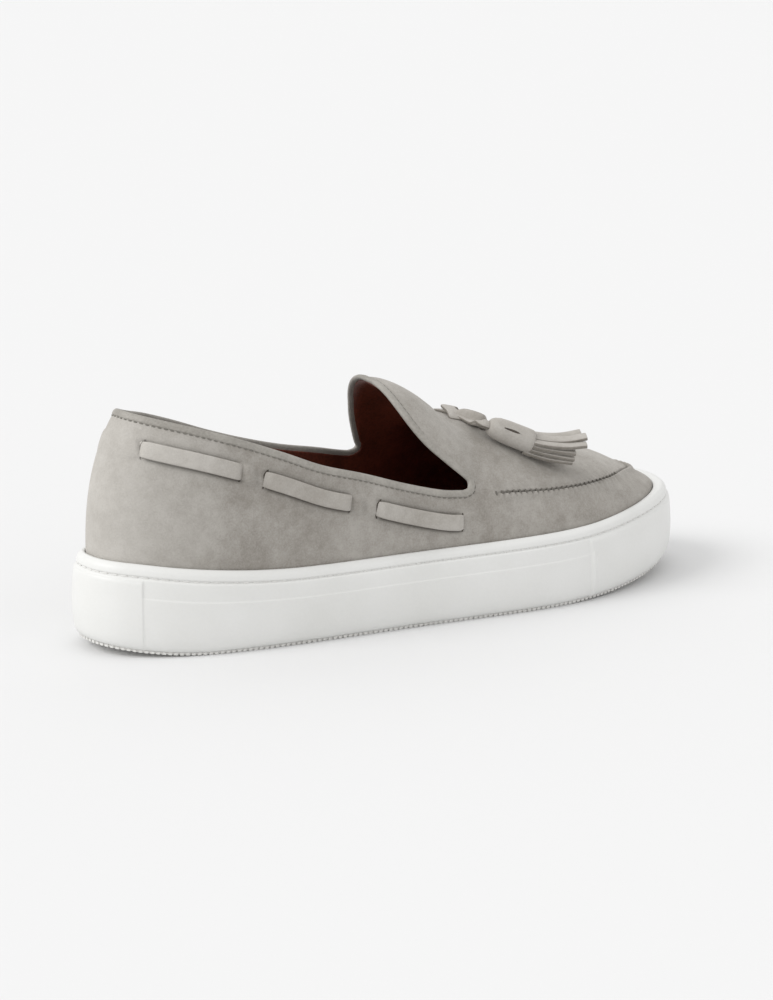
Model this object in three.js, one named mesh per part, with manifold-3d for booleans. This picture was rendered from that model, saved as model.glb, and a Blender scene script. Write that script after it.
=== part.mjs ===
// Right-foot tassel loafer: a suede slip-on with an apron seam, a laced collar and two tassels,
// on a tall white cup sole. Millimetres, +X to the toe, +Y to the wearer's left, +Z up.
// Everything is worked out first in shoe coordinates, with x = 0 at the back of the sole, y = 0 on
// the line of the last and z = 0 on the floor. The group at the end moves the origin to the middle
// of the sole's footprint.
import * as THREE from 'three';
import { mergeVertices } from 'three/addons/utils/BufferGeometryUtils.js';
import Module from 'manifold-3d';

const wasm = await Module();
wasm.setup();

// Driving sizes of the last and the sole
const soleLength = 300;
const ballWidth = 106; // between the wall's base lines, which the side panels stand proud of
const heelRimHeight = 39.2; // top of the sole's wall at the back of the heel
const heelSpring = 5; // how far the sole's edge lifts at the back
const heelSpringLength = 45;
const toeSpring = 9; // how far it lifts at the tip
const toeSpringLength = 105;
const tongueHeight = 100.5; // top of the tongue above the floor
const heelTopHeight = 96.2; // top of the back seam, under the binding
const lateralCornerHeight = 53; // where the collar turns up into the tongue
const medialCornerHeight = 58.6;

// Sole
const treadThickness = 3;
const treadInset = 1.8; // tread edge behind the widest line of the wall
const treadBevel = 1;
const wallFlare = 4.4; // rim edge behind the widest line of the wall
const grooveDepth = 0.8; // stitch groove under the rim
const panelProud = 0.2; // side panel above the band over it
const bumperProud = 0.6; // heel and toe pieces of the wall above that band
const panelHeelAlong = 0.05; // share of the length where the panel starts and ends
const panelToeAlong = 0.735;
const panelEdge = 0.8; // length of the step at the panel's ends
const cupDepth = 10; // footbed under the rim
const insoleThickness = 4;

// Upper
const upperWall = 2.2;
const featherInset = 5.6; // upper behind the widest line of the wall, along the sides
const seamHeight = 1.3; // raised apron seam
const seamHalfWidth = 1.7;
const bindingWidth = 2.6;
const bindingHeight = 1.8;

// Collar lace
const laceWidth = 7;
const laceThickness = 1.6;
const laceDrop = 11.3; // centre of the lace under the top of the collar
const laceTaper = 0.72; // size of the lace's tip, where it goes into a cap
const knotGrowth = 1.2; // width of the knot's wrap, in lace widths

// Tassels
const capLength = 21;
const capDiameter = 11.2;
const fringeLength = 25;
const fringeThickness = 1.6;
const fringeWidth = 4.6;
const fringeStrips = 7;

const clearance = 0.3; // between pieces that meet

// Outline of the sole: shares of the length, and of the ball width on each side
const outlineRows = [
  { along: 0.012, lateral: 0.175, medial: 0.165 },
  { along: 0.12, lateral: 0.36, medial: 0.345 },
  { along: 0.3, lateral: 0.425, medial: 0.335 },
  { along: 0.48, lateral: 0.46, medial: 0.35 },
  { along: 0.66, lateral: 0.545, medial: 0.475 },
  { along: 0.8, lateral: 0.5, medial: 0.48 },
  { along: 0.925, lateral: 0.355, medial: 0.385 },
  { along: 1, lateral: 0.115, medial: 0.17 },
];

// Top of the wall, as a share of the heel's rim height
const rimRows = [
  { along: 0, height: 1.022 },
  { along: 0.05, height: 0.985 },
  { along: 0.1, height: 0.93 },
  { along: 0.15, height: 0.882 },
  { along: 0.21, height: 0.838 },
  { along: 0.28, height: 0.812 },
  { along: 0.45, height: 0.812 },
  { along: 0.65, height: 0.826 },
  { along: 0.75, height: 0.848 },
  { along: 0.84, height: 0.91 },
  { along: 0.92, height: 0.96 },
  { along: 1, height: 0.99 },
];

// How far the upper stands in from the widest line, as a share of featherInset
const insetRows = [
  { along: 0, inset: 1 },
  { along: 0.12, inset: 1 },
  { along: 0.8, inset: 1 },
  { along: 0.93, inset: 1.34 },
  { along: 1, inset: 1.6 },
];

// Ridge line of the last over the instep and toe, as a share of the tongue's height. Behind the
// tongue it goes on over the opening, where only the shape of the sides uses it.
const ridgeRows = [
  { along: 0, height: 1.115 },
  { along: 0.17, height: 1.175 },
  { along: 0.27, height: 1.205 },
  { along: 0.37, height: 1.125 },
  { along: 0.42, height: 1.065 },
  { along: 0.455, height: 1 },
  { along: 0.5, height: 0.965 },
  { along: 0.54, height: 0.9 },
  { along: 0.577, height: 0.808 },
  { along: 0.62, height: 0.778 },
  { along: 0.683, height: 0.71 },
  { along: 0.75, height: 0.644 },
  { along: 0.82, height: 0.582 },
  { along: 0.873, height: 0.53 },
  { along: 0.92, height: 0.478 },
  { along: 1, height: 0.398 },
];
const apexAlong = 0.467;

// Where a section that starts at a place on the sole's edge reaches the ridge
const spineRows = [
  { along: 0, spine: 0.185, across: 0 },
  { along: 0.1, spine: 0.2, across: 0 },
  { along: 0.2, spine: 0.24, across: 0 },
  { along: 0.3, spine: 0.31, across: 0 },
  { along: 0.45, spine: 0.45, across: 0.015 },
  { along: 0.7, spine: 0.69, across: 0.03 },
  { along: 0.85, spine: 0.815, across: 0.025 },
  { along: 0.93, spine: 0.86, across: 0.02 },
  { along: 1, spine: 0.885, across: 0.02 },
];

// Roundness of the sections: 2 is an ellipse, more is boxier and less is more peaked
const sectionRows = [
  { along: 0, roundness: 2.3 },
  { along: 0.15, roundness: 2.4 },
  { along: 0.3, roundness: 2.4 },
  { along: 0.5, roundness: 2.1 },
  { along: 0.6, roundness: 1.9 },
  { along: 0.7, roundness: 1.78 },
  { along: 0.85, roundness: 1.7 },
  { along: 0.95, roundness: 1.8 },
  { along: 1, roundness: 2 },
];

// Collar in side view: 1 at the back seam and 0 at the corner, on each side
const collarRows = [
  { along: 0.065, lateral: 1, medial: 1 },
  { along: 0.1, lateral: 0.932, medial: 0.896 },
  { along: 0.14, lateral: 0.852, medial: 0.806 },
  { along: 0.19, lateral: 0.738, medial: 0.673 },
  { along: 0.25, lateral: 0.582, medial: 0.497 },
  { along: 0.31, lateral: 0.412, medial: 0.343 },
  { along: 0.375, lateral: 0.283, medial: 0.205 },
  { along: 0.44, lateral: 0.138, medial: 0.102 },
  { along: 0.5, lateral: 0.028, medial: 0 },
  { along: 0.535, lateral: 0, medial: 0 },
];

// Edge of the tongue in side view: rise is 0 at the corner and 1 at the full height, and the
// other columns say how far along it is on each side
const tongueRows = [
  { rise: 0, lateral: 0.535, medial: 0.5 },
  { rise: 0.015, lateral: 0.547, medial: 0.513 },
  { rise: 0.06, lateral: 0.553, medial: 0.5205 },
  { rise: 0.115, lateral: 0.554, medial: 0.5215 },
  { rise: 0.165, lateral: 0.549, medial: 0.517 },
  { rise: 0.32, lateral: 0.522, medial: 0.507 },
  { rise: 0.475, lateral: 0.497, medial: 0.4975 },
  { rise: 0.63, lateral: 0.481, medial: 0.489 },
  { rise: 0.78, lateral: 0.472, medial: 0.4795 },
  { rise: 0.9, lateral: 0.468, medial: 0.472 },
  { rise: 0.982, lateral: 0.467, medial: 0.467 },
];

// Apron seam on the last: along is the place on the sole's edge that the section starts from, and
// turn is how far round the section the seam lies, in quarter turns
const seamRows = [
  { along: 0.52, turn: 0.25, relief: 0 },
  { along: 0.59, turn: 0.278, relief: 0 },
  { along: 0.63, turn: 0.291, relief: 1 },
  { along: 0.7, turn: 0.324, relief: 1 },
  { along: 0.78, turn: 0.37, relief: 1 },
  { along: 0.84, turn: 0.417, relief: 1 },
  { along: 0.9, turn: 0.492, relief: 1 },
  { along: 0.955, turn: 0.535, relief: 1 },
  { along: 1, turn: 0.55, relief: 1 },
];

// Visible bars of the collar lace, between the slits that it runs through
const laceRows = [
  { from: 0.072, to: 0.19 },
  { from: 0.226, to: 0.35 },
  { from: 0.396, to: 0.525 },
];

// Fringe strips of a tassel, in millimetres off the axis of the cap: along is the share of their
// length, splay the distance of the outermost strips, and the curls lift or drop the two layers
const fringeRows = [
  { along: 0, splay: 2.9, upperCurl: 1.4, lowerCurl: -1.2 },
  { along: 0.35, splay: 3.9, upperCurl: 3.2, lowerCurl: -0.9 },
  { along: 0.7, splay: 4.9, upperCurl: 6.6, lowerCurl: 0.6 },
  { along: 1, splay: 5.8, upperCurl: 10.5, lowerCurl: 2.4 },
];

// Wall of the cup: height between the tread and the rim, inset as a share of wallFlare, and 1 where
// the side panel, the heel and toe pieces or the stitch groove shape the row
const wallRows = [
  { height: 0, inset: 0.52, panel: 1, bumper: 1, groove: 0 },
  { height: 0.05, inset: 0.26, panel: 1, bumper: 1, groove: 0 },
  { height: 0.16, inset: 0.08, panel: 1, bumper: 1, groove: 0 },
  { height: 0.36, inset: 0, panel: 1, bumper: 1, groove: 0 },
  { height: 0.61, inset: 0.08, panel: 1, bumper: 1, groove: 0 },
  { height: 0.63, inset: 0.09, panel: 0, bumper: 1, groove: 0 },
  { height: 0.81, inset: 0.22, panel: 0, bumper: 1, groove: 0 },
  { height: 0.83, inset: 0.26, panel: 0, bumper: 0, groove: 0 },
  { height: 0.86, inset: 0.31, panel: 0, bumper: 0, groove: 1 },
  { height: 0.885, inset: 0.35, panel: 0, bumper: 0, groove: 0 },
  { height: 0.95, inset: 0.5, panel: 0, bumper: 0, groove: 0 },
  { height: 1, inset: 0.86, panel: 0, bumper: 0, groove: 0 },
];

const lateral = -1;
const medial = 1;
const quarterTurn = Math.PI / 2;

// Smooth value of a named column of a table at a place, through every row
function lookUp(rows, column, place, key = 'along') {
  const last = rows.length - 1;
  const at = Math.min(Math.max(place, rows[0][key]), rows[last][key]);
  let i = 0;
  while (i < last - 1 && rows[i + 1][key] <= at) i += 1;
  const slope = (k) => {
    const a = rows[Math.max(k - 1, 0)];
    const b = rows[Math.min(k + 1, last)];
    return (b[column] - a[column]) / (b[key] - a[key]);
  };
  const step = rows[i + 1][key] - rows[i][key];
  const f = (at - rows[i][key]) / step;
  const f2 = f * f;
  const f3 = f2 * f;
  return (2 * f3 - 3 * f2 + 1) * rows[i][column] + (f3 - 2 * f2 + f) * step * slope(i)
    + (3 * f2 - 2 * f3) * rows[i + 1][column] + (f3 - f2) * step * slope(i + 1);
}

// The outline is a closed uniform cubic B-spline: heel, lateral side, toe, medial side
const control = [
  [0, 0],
  ...outlineRows.map((row) => [row.along, -row.lateral]),
  ...outlineRows.toReversed().map((row) => [row.along, row.medial]),
];
const turns = control.length;

function splinePoint(u, weights) {
  const wrapped = ((u % turns) + turns) % turns;
  const i = Math.floor(wrapped);
  const w = weights(wrapped - i);
  const point = [0, 0];
  for (let k = 0; k < 4; k += 1) {
    const c = control[(i + k - 1 + turns) % turns];
    point[0] += w[k] * c[0];
    point[1] += w[k] * c[1];
  }
  return point;
}
const placeWeights = (f) => [
  (1 - f) ** 3 / 6, (3 * f ** 3 - 6 * f ** 2 + 4) / 6,
  (-3 * f ** 3 + 3 * f ** 2 + 3 * f + 1) / 6, f ** 3 / 6,
];
const slopeWeights = (f) => [
  -((1 - f) ** 2) / 2, (3 * f ** 2 - 4 * f) / 2, (-3 * f ** 2 + 2 * f + 1) / 2, f ** 2 / 2,
];

const outlineSamples = Array.from({ length: 40 * turns }, (_, k) => splinePoint(k / 40, placeWeights));
const lowest = [0, 1].map((axis) => Math.min(...outlineSamples.map((p) => p[axis])));
const highest = [0, 1].map((axis) => Math.max(...outlineSamples.map((p) => p[axis])));
const stretch = [soleLength / (highest[0] - lowest[0]), ballWidth / (highest[1] - lowest[1])];
const footprintMiddle = ((highest[1] + lowest[1]) / 2) * stretch[1];

function outline(u, inset = 0) {
  const p = splinePoint(u, placeWeights);
  const d = splinePoint(u, slopeWeights);
  const normal = new THREE.Vector2(d[1] * stretch[1], -d[0] * stretch[0]).normalize();
  return new THREE.Vector2((p[0] - lowest[0]) * stretch[0], p[1] * stretch[1])
    .addScaledVector(normal, -inset);
}

const rimHeight = (x) => heelRimHeight * lookUp(rimRows, 'height', x / soleLength);

function springHeight(x) {
  const back = Math.max(1 - x / heelSpringLength, 0);
  const front = Math.max(1 - (soleLength - x) / toeSpringLength, 0);
  return heelSpring * back ** 2 + toeSpring * front ** 2;
}

const upperInset = (u) => featherInset * lookUp(insetRows, 'inset', outline(u).x / soleLength);
const cupFloor = (x) => rimHeight(x) - cupDepth;

// Place round the outline of a side: 0 at the heel, 1 at the toe
const aroundOf = (side, t) => (side === lateral ? (t * turns) / 2 : turns - (t * turns) / 2);

// Where the sections of both sides start, on average, as a share of the length
function sectionAlong(t) {
  const xs = [lateral, medial].map((side) => {
    const u = aroundOf(side, t);
    return outline(u, upperInset(u)).x;
  });
  return (xs[0] + xs[1]) / 2 / soleLength;
}

// A point of the last's surface: t from heel to toe along the edge, turn from 0 at the edge of the
// sole to a quarter turn at the ridge
function lastPoint(side, t, turn) {
  const u = aroundOf(side, t);
  const foot = outline(u, upperInset(u));
  const along = sectionAlong(t);
  const spine = lookUp(spineRows, 'spine', along);
  const across = lookUp(spineRows, 'across', along) * ballWidth;
  const power = 2 / lookUp(sectionRows, 'roundness', along);
  const inward = 1 - Math.max(Math.cos(turn), 0) ** power;
  const rise = Math.sin(turn) ** power;
  const x = foot.x + (spine * soleLength - foot.x) * inward;
  const y = foot.y + (across - foot.y) * inward;
  const ridge = tongueHeight * lookUp(ridgeRows, 'height', x / soleLength);
  const rim = rimHeight(foot.x);
  return new THREE.Vector3(x, y, rim + (ridge - rim) * rise);
}

// Outward normal of the last. On the lines that both sides share it stays in the upright plane
// along the shoe, so that both sides find the same one.
function lastNormal(side, t, turn) {
  const step = 0.004;
  const t0 = Math.max(t - step, 0);
  const t1 = Math.min(t + step, 1);
  const turn0 = Math.max(turn - step, 0);
  const turn1 = Math.min(turn + step, quarterTurn);
  const alongShoe = lastPoint(side, t1, turn).sub(lastPoint(side, t0, turn));
  const upSection = lastPoint(side, t, turn1).sub(lastPoint(side, t, turn0));
  const onRidge = turn > quarterTurn - 1e-6;
  if (onRidge) return new THREE.Vector3(-alongShoe.z, 0, alongShoe.x).normalize();
  if (t === 0) return new THREE.Vector3(-upSection.z, 0, upSection.x).normalize();
  if (t === 1) return new THREE.Vector3(upSection.z, 0, -upSection.x).normalize();
  const normal = alongShoe.cross(upSection).normalize();
  return normal.multiplyScalar(side === lateral ? 1 : -1);
}

// The place on the last, as { t, turn }, that has a given x and z in side view
function findOnLast(side, x, z) {
  const turnAt = (t) => {
    let low = 0;
    let high = quarterTurn;
    for (let k = 0; k < 40; k += 1) {
      const middle = (low + high) / 2;
      if (lastPoint(side, t, middle).z < z) low = middle;
      else high = middle;
    }
    return low;
  };
  let low = 0;
  let high = 1;
  for (let k = 0; k < 40; k += 1) {
    const middle = (low + high) / 2;
    if (lastPoint(side, middle, turnAt(middle)).x < x) low = middle;
    else high = middle;
  }
  return { t: low, turn: turnAt(low) };
}

// Closed body from rows of points, with the ends closed by caps or joined to each other
function closedBody(rows, { joinRows = false, closeRing = true, caps = true } = {}) {
  const width = rows[0].length;
  const positions = rows.flat().flatMap((p) => [p.x, p.y, p.z]);
  const index = [];
  const quad = (a, b, c, d) => index.push(a, b, c, a, c, d);
  const lastRow = joinRows ? rows.length : rows.length - 1;
  const ring = closeRing ? width : width - 1;
  for (let r = 0; r < lastRow; r += 1) {
    const next = (r + 1) % rows.length;
    for (let k = 0; k < ring; k += 1) {
      const k1 = (k + 1) % width;
      quad(r * width + k, r * width + k1, next * width + k1, next * width + k);
    }
  }
  // a cap is a ladder of rungs from each point to the one across the ring
  const ladder = (start, flip) => {
    for (let k = 0; k < width / 2; k += 1) {
      const a = start + k;
      const b = start + k + 1;
      const c = start + ((width - k - 1) % width);
      const d = start + ((width - k) % width);
      const corners = flip ? [d, c, b, a] : [a, b, c, d];
      quad(...corners);
    }
  };
  if (caps && !joinRows) {
    ladder(0, true);
    ladder((rows.length - 1) * width, false);
  }
  return bodyFrom(positions, index);
}

// Merges shared points, drops empty triangles and turns the faces outwards
function bodyFrom(positions, index) {
  const loose = new THREE.BufferGeometry();
  loose.setAttribute('position', new THREE.Float32BufferAttribute(positions, 3));
  loose.setIndex(index);
  const merged = mergeVertices(loose, 1e-4);
  const place = merged.getAttribute('position');
  const kept = [];
  let volume = 0;
  const old = merged.getIndex().array;
  const corner = [0, 1, 2].map(() => new THREE.Vector3());
  for (let k = 0; k < old.length; k += 3) {
    const [a, b, c] = [old[k], old[k + 1], old[k + 2]];
    if (a === b || b === c || c === a) continue;
    kept.push(a, b, c);
    [a, b, c].forEach((v, m) => corner[m].fromBufferAttribute(place, v));
    volume += corner[0].dot(corner[1].clone().cross(corner[2]));
  }
  if (volume < 0) kept.reverse();
  merged.setIndex(kept);
  return merged;
}

function joined(geometries) {
  const solids = geometries.map((geometry) => new wasm.Manifold(new wasm.Mesh({
    numProp: 3,
    vertProperties: new Float32Array(geometry.getAttribute('position').array),
    triVerts: new Uint32Array(geometry.getIndex().array),
  })));
  const mesh = solids.reduce((whole, piece) => whole.add(piece)).getMesh();
  return bodyFrom(Array.from(mesh.vertProperties), Array.from(mesh.triVerts));
}

// Places round the sole: even steps, with a pair at each end of the side panels
function placesRound() {
  const even = 60;
  const half = [];
  for (let k = 0; k <= even / 2; k += 1) half.push(k / (even / 2));
  const tAt = (along) => {
    let low = 0;
    let high = 1;
    for (let k = 0; k < 40; k += 1) {
      const middle = (low + high) / 2;
      if (outline(aroundOf(lateral, middle)).x < along * soleLength) low = middle;
      else high = middle;
    }
    return low;
  };
  const edgeShare = panelEdge / soleLength;
  for (const along of [panelHeelAlong, panelToeAlong]) {
    half.push(tAt(along - edgeShare / 2), tAt(along + edgeShare / 2));
  }
  half.sort((a, b) => a - b);
  const panelStart = tAt(panelHeelAlong);
  const panelEnd = tAt(panelToeAlong);
  const place = (side, t) => ({ u: aroundOf(side, t), inPanel: t > panelStart && t < panelEnd });
  const there = half.map((t) => place(lateral, t));
  const back = half.slice(1, -1).toReversed().map((t) => place(medial, t));
  return [...there, ...back];
}
const soleRing = placesRound();

function soleRow(insetOf, heightOf) {
  return soleRing.map(({ u, inPanel }) => {
    const p = outline(u, insetOf(u, inPanel));
    return new THREE.Vector3(p.x, p.y, heightOf(p.x));
  });
}

function outsoleBody() {
  return closedBody([
    soleRow(() => treadInset + treadBevel, (x) => springHeight(x)),
    soleRow(() => treadInset, (x) => springHeight(x) + treadBevel),
    soleRow(() => treadInset, (x) => springHeight(x) + treadThickness),
  ]);
}

function cupsoleBody() {
  const base = (x) => springHeight(x) + treadThickness + clearance;
  const wall = wallRows.map((row) => soleRow(
    (u, inPanel) => row.inset * wallFlare + row.groove * grooveDepth
      - (inPanel ? row.panel * panelProud : row.bumper * bumperProud),
    (x) => base(x) + (rimHeight(x) - base(x)) * row.height,
  ));
  const mouth = (u) => upperInset(u) - clearance;
  return closedBody([...wall, soleRow(mouth, rimHeight), soleRow(mouth, cupFloor)]);
}

function insoleBody() {
  const inset = (u) => upperInset(u) + upperWall + clearance;
  const roundOver = insoleThickness / 4;
  return closedBody([
    soleRow(inset, (x) => cupFloor(x) + clearance),
    soleRow(inset, (x) => cupFloor(x) + clearance + insoleThickness - roundOver),
    soleRow((u) => inset(u) + roundOver, (x) => cupFloor(x) + clearance + insoleThickness),
  ]);
}

// Height of the collar's edge over a place in side view
const cornerHeight = (side) => (side === lateral ? lateralCornerHeight : medialCornerHeight);
function collarHeight(side, x) {
  const rise = lookUp(collarRows, side === lateral ? 'lateral' : 'medial', x / soleLength);
  return cornerHeight(side) + (heelTopHeight - cornerHeight(side)) * rise;
}

// The upper's top edge on one side, from the back seam to the top of the tongue, as places on the
// last, with the place on the sole's edge that each section of the upper starts from
const sectionBend = 3;
const footSpread = 0.6;
const quarterSections = 15;
const tongueSections = 16;
const vampSections = 13;
const tongueFootAlong = 0.72; // where the section that ends at the top of the tongue starts

function topEdge(side) {
  const edge = [{ t: 0, turn: findTurn(side, 0, heelTopHeight) }];
  const column = side === lateral ? 'lateral' : 'medial';
  const corner = tongueRows[0][column] * soleLength;
  const cornerT = findOnLast(side, corner, collarHeight(side, corner)).t;
  for (let k = 1; k <= quarterSections; k += 1) {
    const t = (cornerT * k) / quarterSections;
    edge.push({ t, turn: collarTurn(side, t) });
  }
  const low = cornerHeight(side);
  const line = new THREE.SplineCurve(tongueRows.map((row) => new THREE.Vector2(
    row[column] * soleLength,
    low + (tongueHeight - low) * row.rise,
  )));
  for (let k = 1; k < tongueSections; k += 1) {
    const p = line.getPointAt(k / tongueSections);
    edge.push(findOnLast(side, p.x, p.y));
  }
  return edge.map((place, k) => ({ ...place, k }));
}

function findTurn(side, t, z) {
  let low = 0;
  let high = quarterTurn;
  for (let k = 0; k < 40; k += 1) {
    const middle = (low + high) / 2;
    if (lastPoint(side, t, middle).z < z) low = middle;
    else high = middle;
  }
  return low;
}

function collarTurn(side, t) {
  let low = 0;
  let high = quarterTurn;
  for (let k = 0; k < 40; k += 1) {
    const middle = (low + high) / 2;
    const p = lastPoint(side, t, middle);
    if (p.z < collarHeight(side, p.x)) low = middle;
    else high = middle;
  }
  return low;
}

const tOfAlong = (along) => {
  let low = 0;
  let high = 1;
  for (let k = 0; k < 40; k += 1) {
    const middle = (low + high) / 2;
    if (sectionAlong(middle) < along) low = middle;
    else high = middle;
  }
  return low;
};
const tOfSpine = (along) => {
  let low = 0;
  let high = 1;
  for (let k = 0; k < 40; k += 1) {
    const middle = (low + high) / 2;
    if (lastPoint(lateral, middle, quarterTurn).x < along * soleLength) low = middle;
    else high = middle;
  }
  return low;
};

// A place on a section of the upper: the section leaves the sole's edge square and bends to its top
function placeOn({ footT, top }, share) {
  return { t: footT + (top.t - footT) * share ** sectionBend, turn: top.turn * share };
}

// Sections of one side of the upper, from the sole's edge to the collar, the tongue's edge or the
// ridge
function upperSections(side) {
  const edge = topEdge(side);
  const sections = [];
  const cornerT = edge[quarterSections].t;
  const tongueFootT = tOfAlong(tongueFootAlong);
  const apexT = tOfSpine(apexAlong);
  edge.forEach((top, k) => {
    const onTongue = (Math.max(k - quarterSections, 0) / tongueSections) ** footSpread;
    const footT = k <= quarterSections ? top.t : cornerT + (tongueFootT - cornerT) * onTongue;
    sections.push({ footT, top, open: true });
  });
  for (let k = 0; k <= vampSections; k += 1) {
    const share = k / vampSections;
    sections.push({
      footT: tongueFootT + (1 - tongueFootT) * share,
      top: { t: apexT + (1 - apexT) * share, turn: quarterTurn },
      open: k === 0,
    });
  }
  return sections;
}

// Share of the way up a section at which it crosses the apron seam
function seamShare(section) {
  const highestShare = 0.62;
  const gap = (share) => {
    const { t, turn } = placeOn(section, share);
    return turn - quarterTurn * lookUp(seamRows, 'turn', sectionAlong(t));
  };
  let low = 0;
  let high = 1;
  for (let k = 0; k < 30; k += 1) {
    const middle = (low + high) / 2;
    if (gap(middle) < 0) low = middle;
    else high = middle;
  }
  return Math.min(low, highestShare);
}

const rowsUnderSeam = 3;
const rowsOverSeam = 8;

// Shares of a section at which it has points, with the seam's relief at each
function sectionShares(section, side) {
  const seam = seamShare(section);
  const start = lastPoint(side, section.footT, 0);
  const end = lastPoint(side, section.top.t, section.top.turn);
  const half = seamHalfWidth / Math.max(start.distanceTo(end), 4 * seamHalfWidth);
  const shares = [];
  for (let k = 0; k <= rowsUnderSeam; k += 1) {
    shares.push({ share: ((seam - half) * k) / rowsUnderSeam, relief: 0 });
  }
  shares.push({ share: seam, relief: 1 });
  for (let k = 0; k <= rowsOverSeam; k += 1) {
    shares.push({ share: seam + half + (1 - seam - half) * (k / rowsOverSeam), relief: 0 });
  }
  return shares;
}

function upperBody() {
  const positions = [];
  const index = [];
  const outerRows = rowsUnderSeam + rowsOverSeam + 4;
  for (const side of [lateral, medial]) {
    const sections = upperSections(side);
    const rings = sections.map((section) => {
      const u = aroundOf(side, section.footT);
      const shares = sectionShares(section, side);
      const foot = outline(u, upperInset(u));
      const footIn = outline(u, upperInset(u) + upperWall);
      const floor = cupFloor(foot.x) + clearance;
      const outer = [new THREE.Vector3(foot.x, foot.y, floor)];
      const inner = [new THREE.Vector3(footIn.x, footIn.y, floor)];
      for (const { share, relief } of shares) {
        const { t, turn } = placeOn(section, share);
        const along = sectionAlong(t);
        const raised = relief * seamHeight * Math.max(lookUp(seamRows, 'relief', along), 0);
        const p = lastPoint(side, t, turn);
        const n = lastNormal(side, t, turn);
        outer.push(p.clone().addScaledVector(n, raised));
        inner.push(p.clone().addScaledVector(n, -upperWall));
      }
      return [...outer, ...inner.toReversed()];
    });
    const start = positions.length / 3;
    const width = rings[0].length;
    positions.push(...rings.flat().flatMap((p) => [p.x, p.y, p.z]));
    const quad = (a, b, c, d) => (side === lateral
      ? index.push(a, b, c, a, c, d) : index.push(a, c, b, a, d, c));
    for (let r = 0; r < rings.length - 1; r += 1) {
      for (let k = 0; k < width; k += 1) {
        const k1 = (k + 1) % width;
        const acrossTop = k === outerRows - 1;
        if (acrossTop && !(sections[r].open && sections[r + 1].open)) continue;
        const row = start + r * width;
        const next = row + width;
        quad(row + k, row + k1, next + k1, next + k);
      }
    }
  }
  return bodyFrom(positions, index);
}

// Bead round the whole opening, seated on the upper's top edge
function bindingBody() {
  const sides = [lateral, medial].map((side) => {
    const sections = upperSections(side).filter((section) => section.open);
    return sections.map(({ top }) => ({
      p: lastPoint(side, top.t, top.turn),
      n: lastNormal(side, top.t, top.turn),
    }));
  });
  const loop = [...sides[0], ...sides[1].slice(1, -1).toReversed()];
  const rings = loop.map(({ p, n }, k) => {
    const before = loop[(k - 1 + loop.length) % loop.length].p;
    const after = loop[(k + 1) % loop.length].p;
    const tangent = after.clone().sub(before).normalize();
    const out = n.clone().cross(tangent).normalize();
    const seat = p.clone().addScaledVector(n, -upperWall / 2).addScaledVector(out, clearance);
    const ring = [];
    const steps = 5;
    for (let m = 0; m <= steps; m += 1) {
      const angle = (Math.PI * m) / steps;
      ring.push(seat.clone()
        .addScaledVector(n, (Math.cos(angle) * bindingWidth) / 2)
        .addScaledVector(out, Math.sin(angle) * bindingHeight));
    }
    return ring;
  });
  return closedBody(rings, { joinRows: true });
}

// A flat strap with rounded edges through centre points, each with its across and up directions
function strapBody(stations, width, thickness) {
  const steps = 8;
  const rings = stations.map(({ centre, across, up, size = 1 }) => {
    const ring = [];
    for (let m = 0; m < steps; m += 1) {
      const angle = (2 * Math.PI * (m + 0.5)) / steps;
      const c = Math.sign(Math.cos(angle)) * Math.abs(Math.cos(angle)) ** 0.4;
      const s = Math.sign(Math.sin(angle)) * Math.abs(Math.sin(angle)) ** 0.6;
      ring.push(centre.clone()
        .addScaledVector(across, (c * width * size) / 2)
        .addScaledVector(up, (s * thickness * size) / 2));
    }
    return ring;
  });
  return closedBody(rings);
}

// One visible bar of the collar lace, lying on the upper
function laceBarBody(side, { from, to }) {
  const steps = 5;
  const stations = [];
  for (let k = 0; k <= steps; k += 1) {
    const x = (from + ((to - from) * k) / steps) * soleLength;
    const place = findOnLast(side, x, collarHeight(side, x) - laceDrop);
    const p = lastPoint(side, place.t, place.turn);
    const n = lastNormal(side, place.t, place.turn);
    stations.push({ p, n, atEnd: k === 0 || k === steps });
  }
  const lift = clearance + 0.15 + laceThickness / 2;
  return strapBody(stations.map(({ p, n, atEnd }, k) => {
    const before = stations[Math.max(k - 1, 0)].p;
    const after = stations[Math.min(k + 1, steps)].p;
    const tangent = after.clone().sub(before).normalize();
    const across = n.clone().cross(tangent).normalize();
    return { centre: p.clone().addScaledVector(n, lift), across, up: n, size: atEnd ? 0.8 : 1 };
  }), laceWidth, laceThickness);
}

// Surface of the vamp under a place in plan
function vampPoint(x, y) {
  const side = y < 0 ? lateral : medial;
  let low = 0;
  let high = quarterTurn;
  let t = 0.5;
  for (let k = 0; k < 40; k += 1) {
    const turn = (low + high) / 2;
    let a = 0;
    let b = 1;
    for (let m = 0; m < 30; m += 1) {
      t = (a + b) / 2;
      if (lastPoint(side, t, turn).x < x) a = t;
      else b = t;
    }
    if (Math.abs(lastPoint(side, t, turn).y) > Math.abs(y)) low = turn;
    else high = turn;
  }
  return { p: lastPoint(side, t, low), n: lastNormal(side, t, low) };
}

// The stations of a piece that runs over the vamp: centre and normal of the vamp under it, from
// places in plan and the height of the centre over the vamp
function overVamp(rows) {
  return rows.map(({ along, across, over }) => {
    const { p, n } = vampPoint(along * soleLength, across * ballWidth);
    return { centre: p.clone().addScaledVector(n, over), up: n };
  });
}

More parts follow.
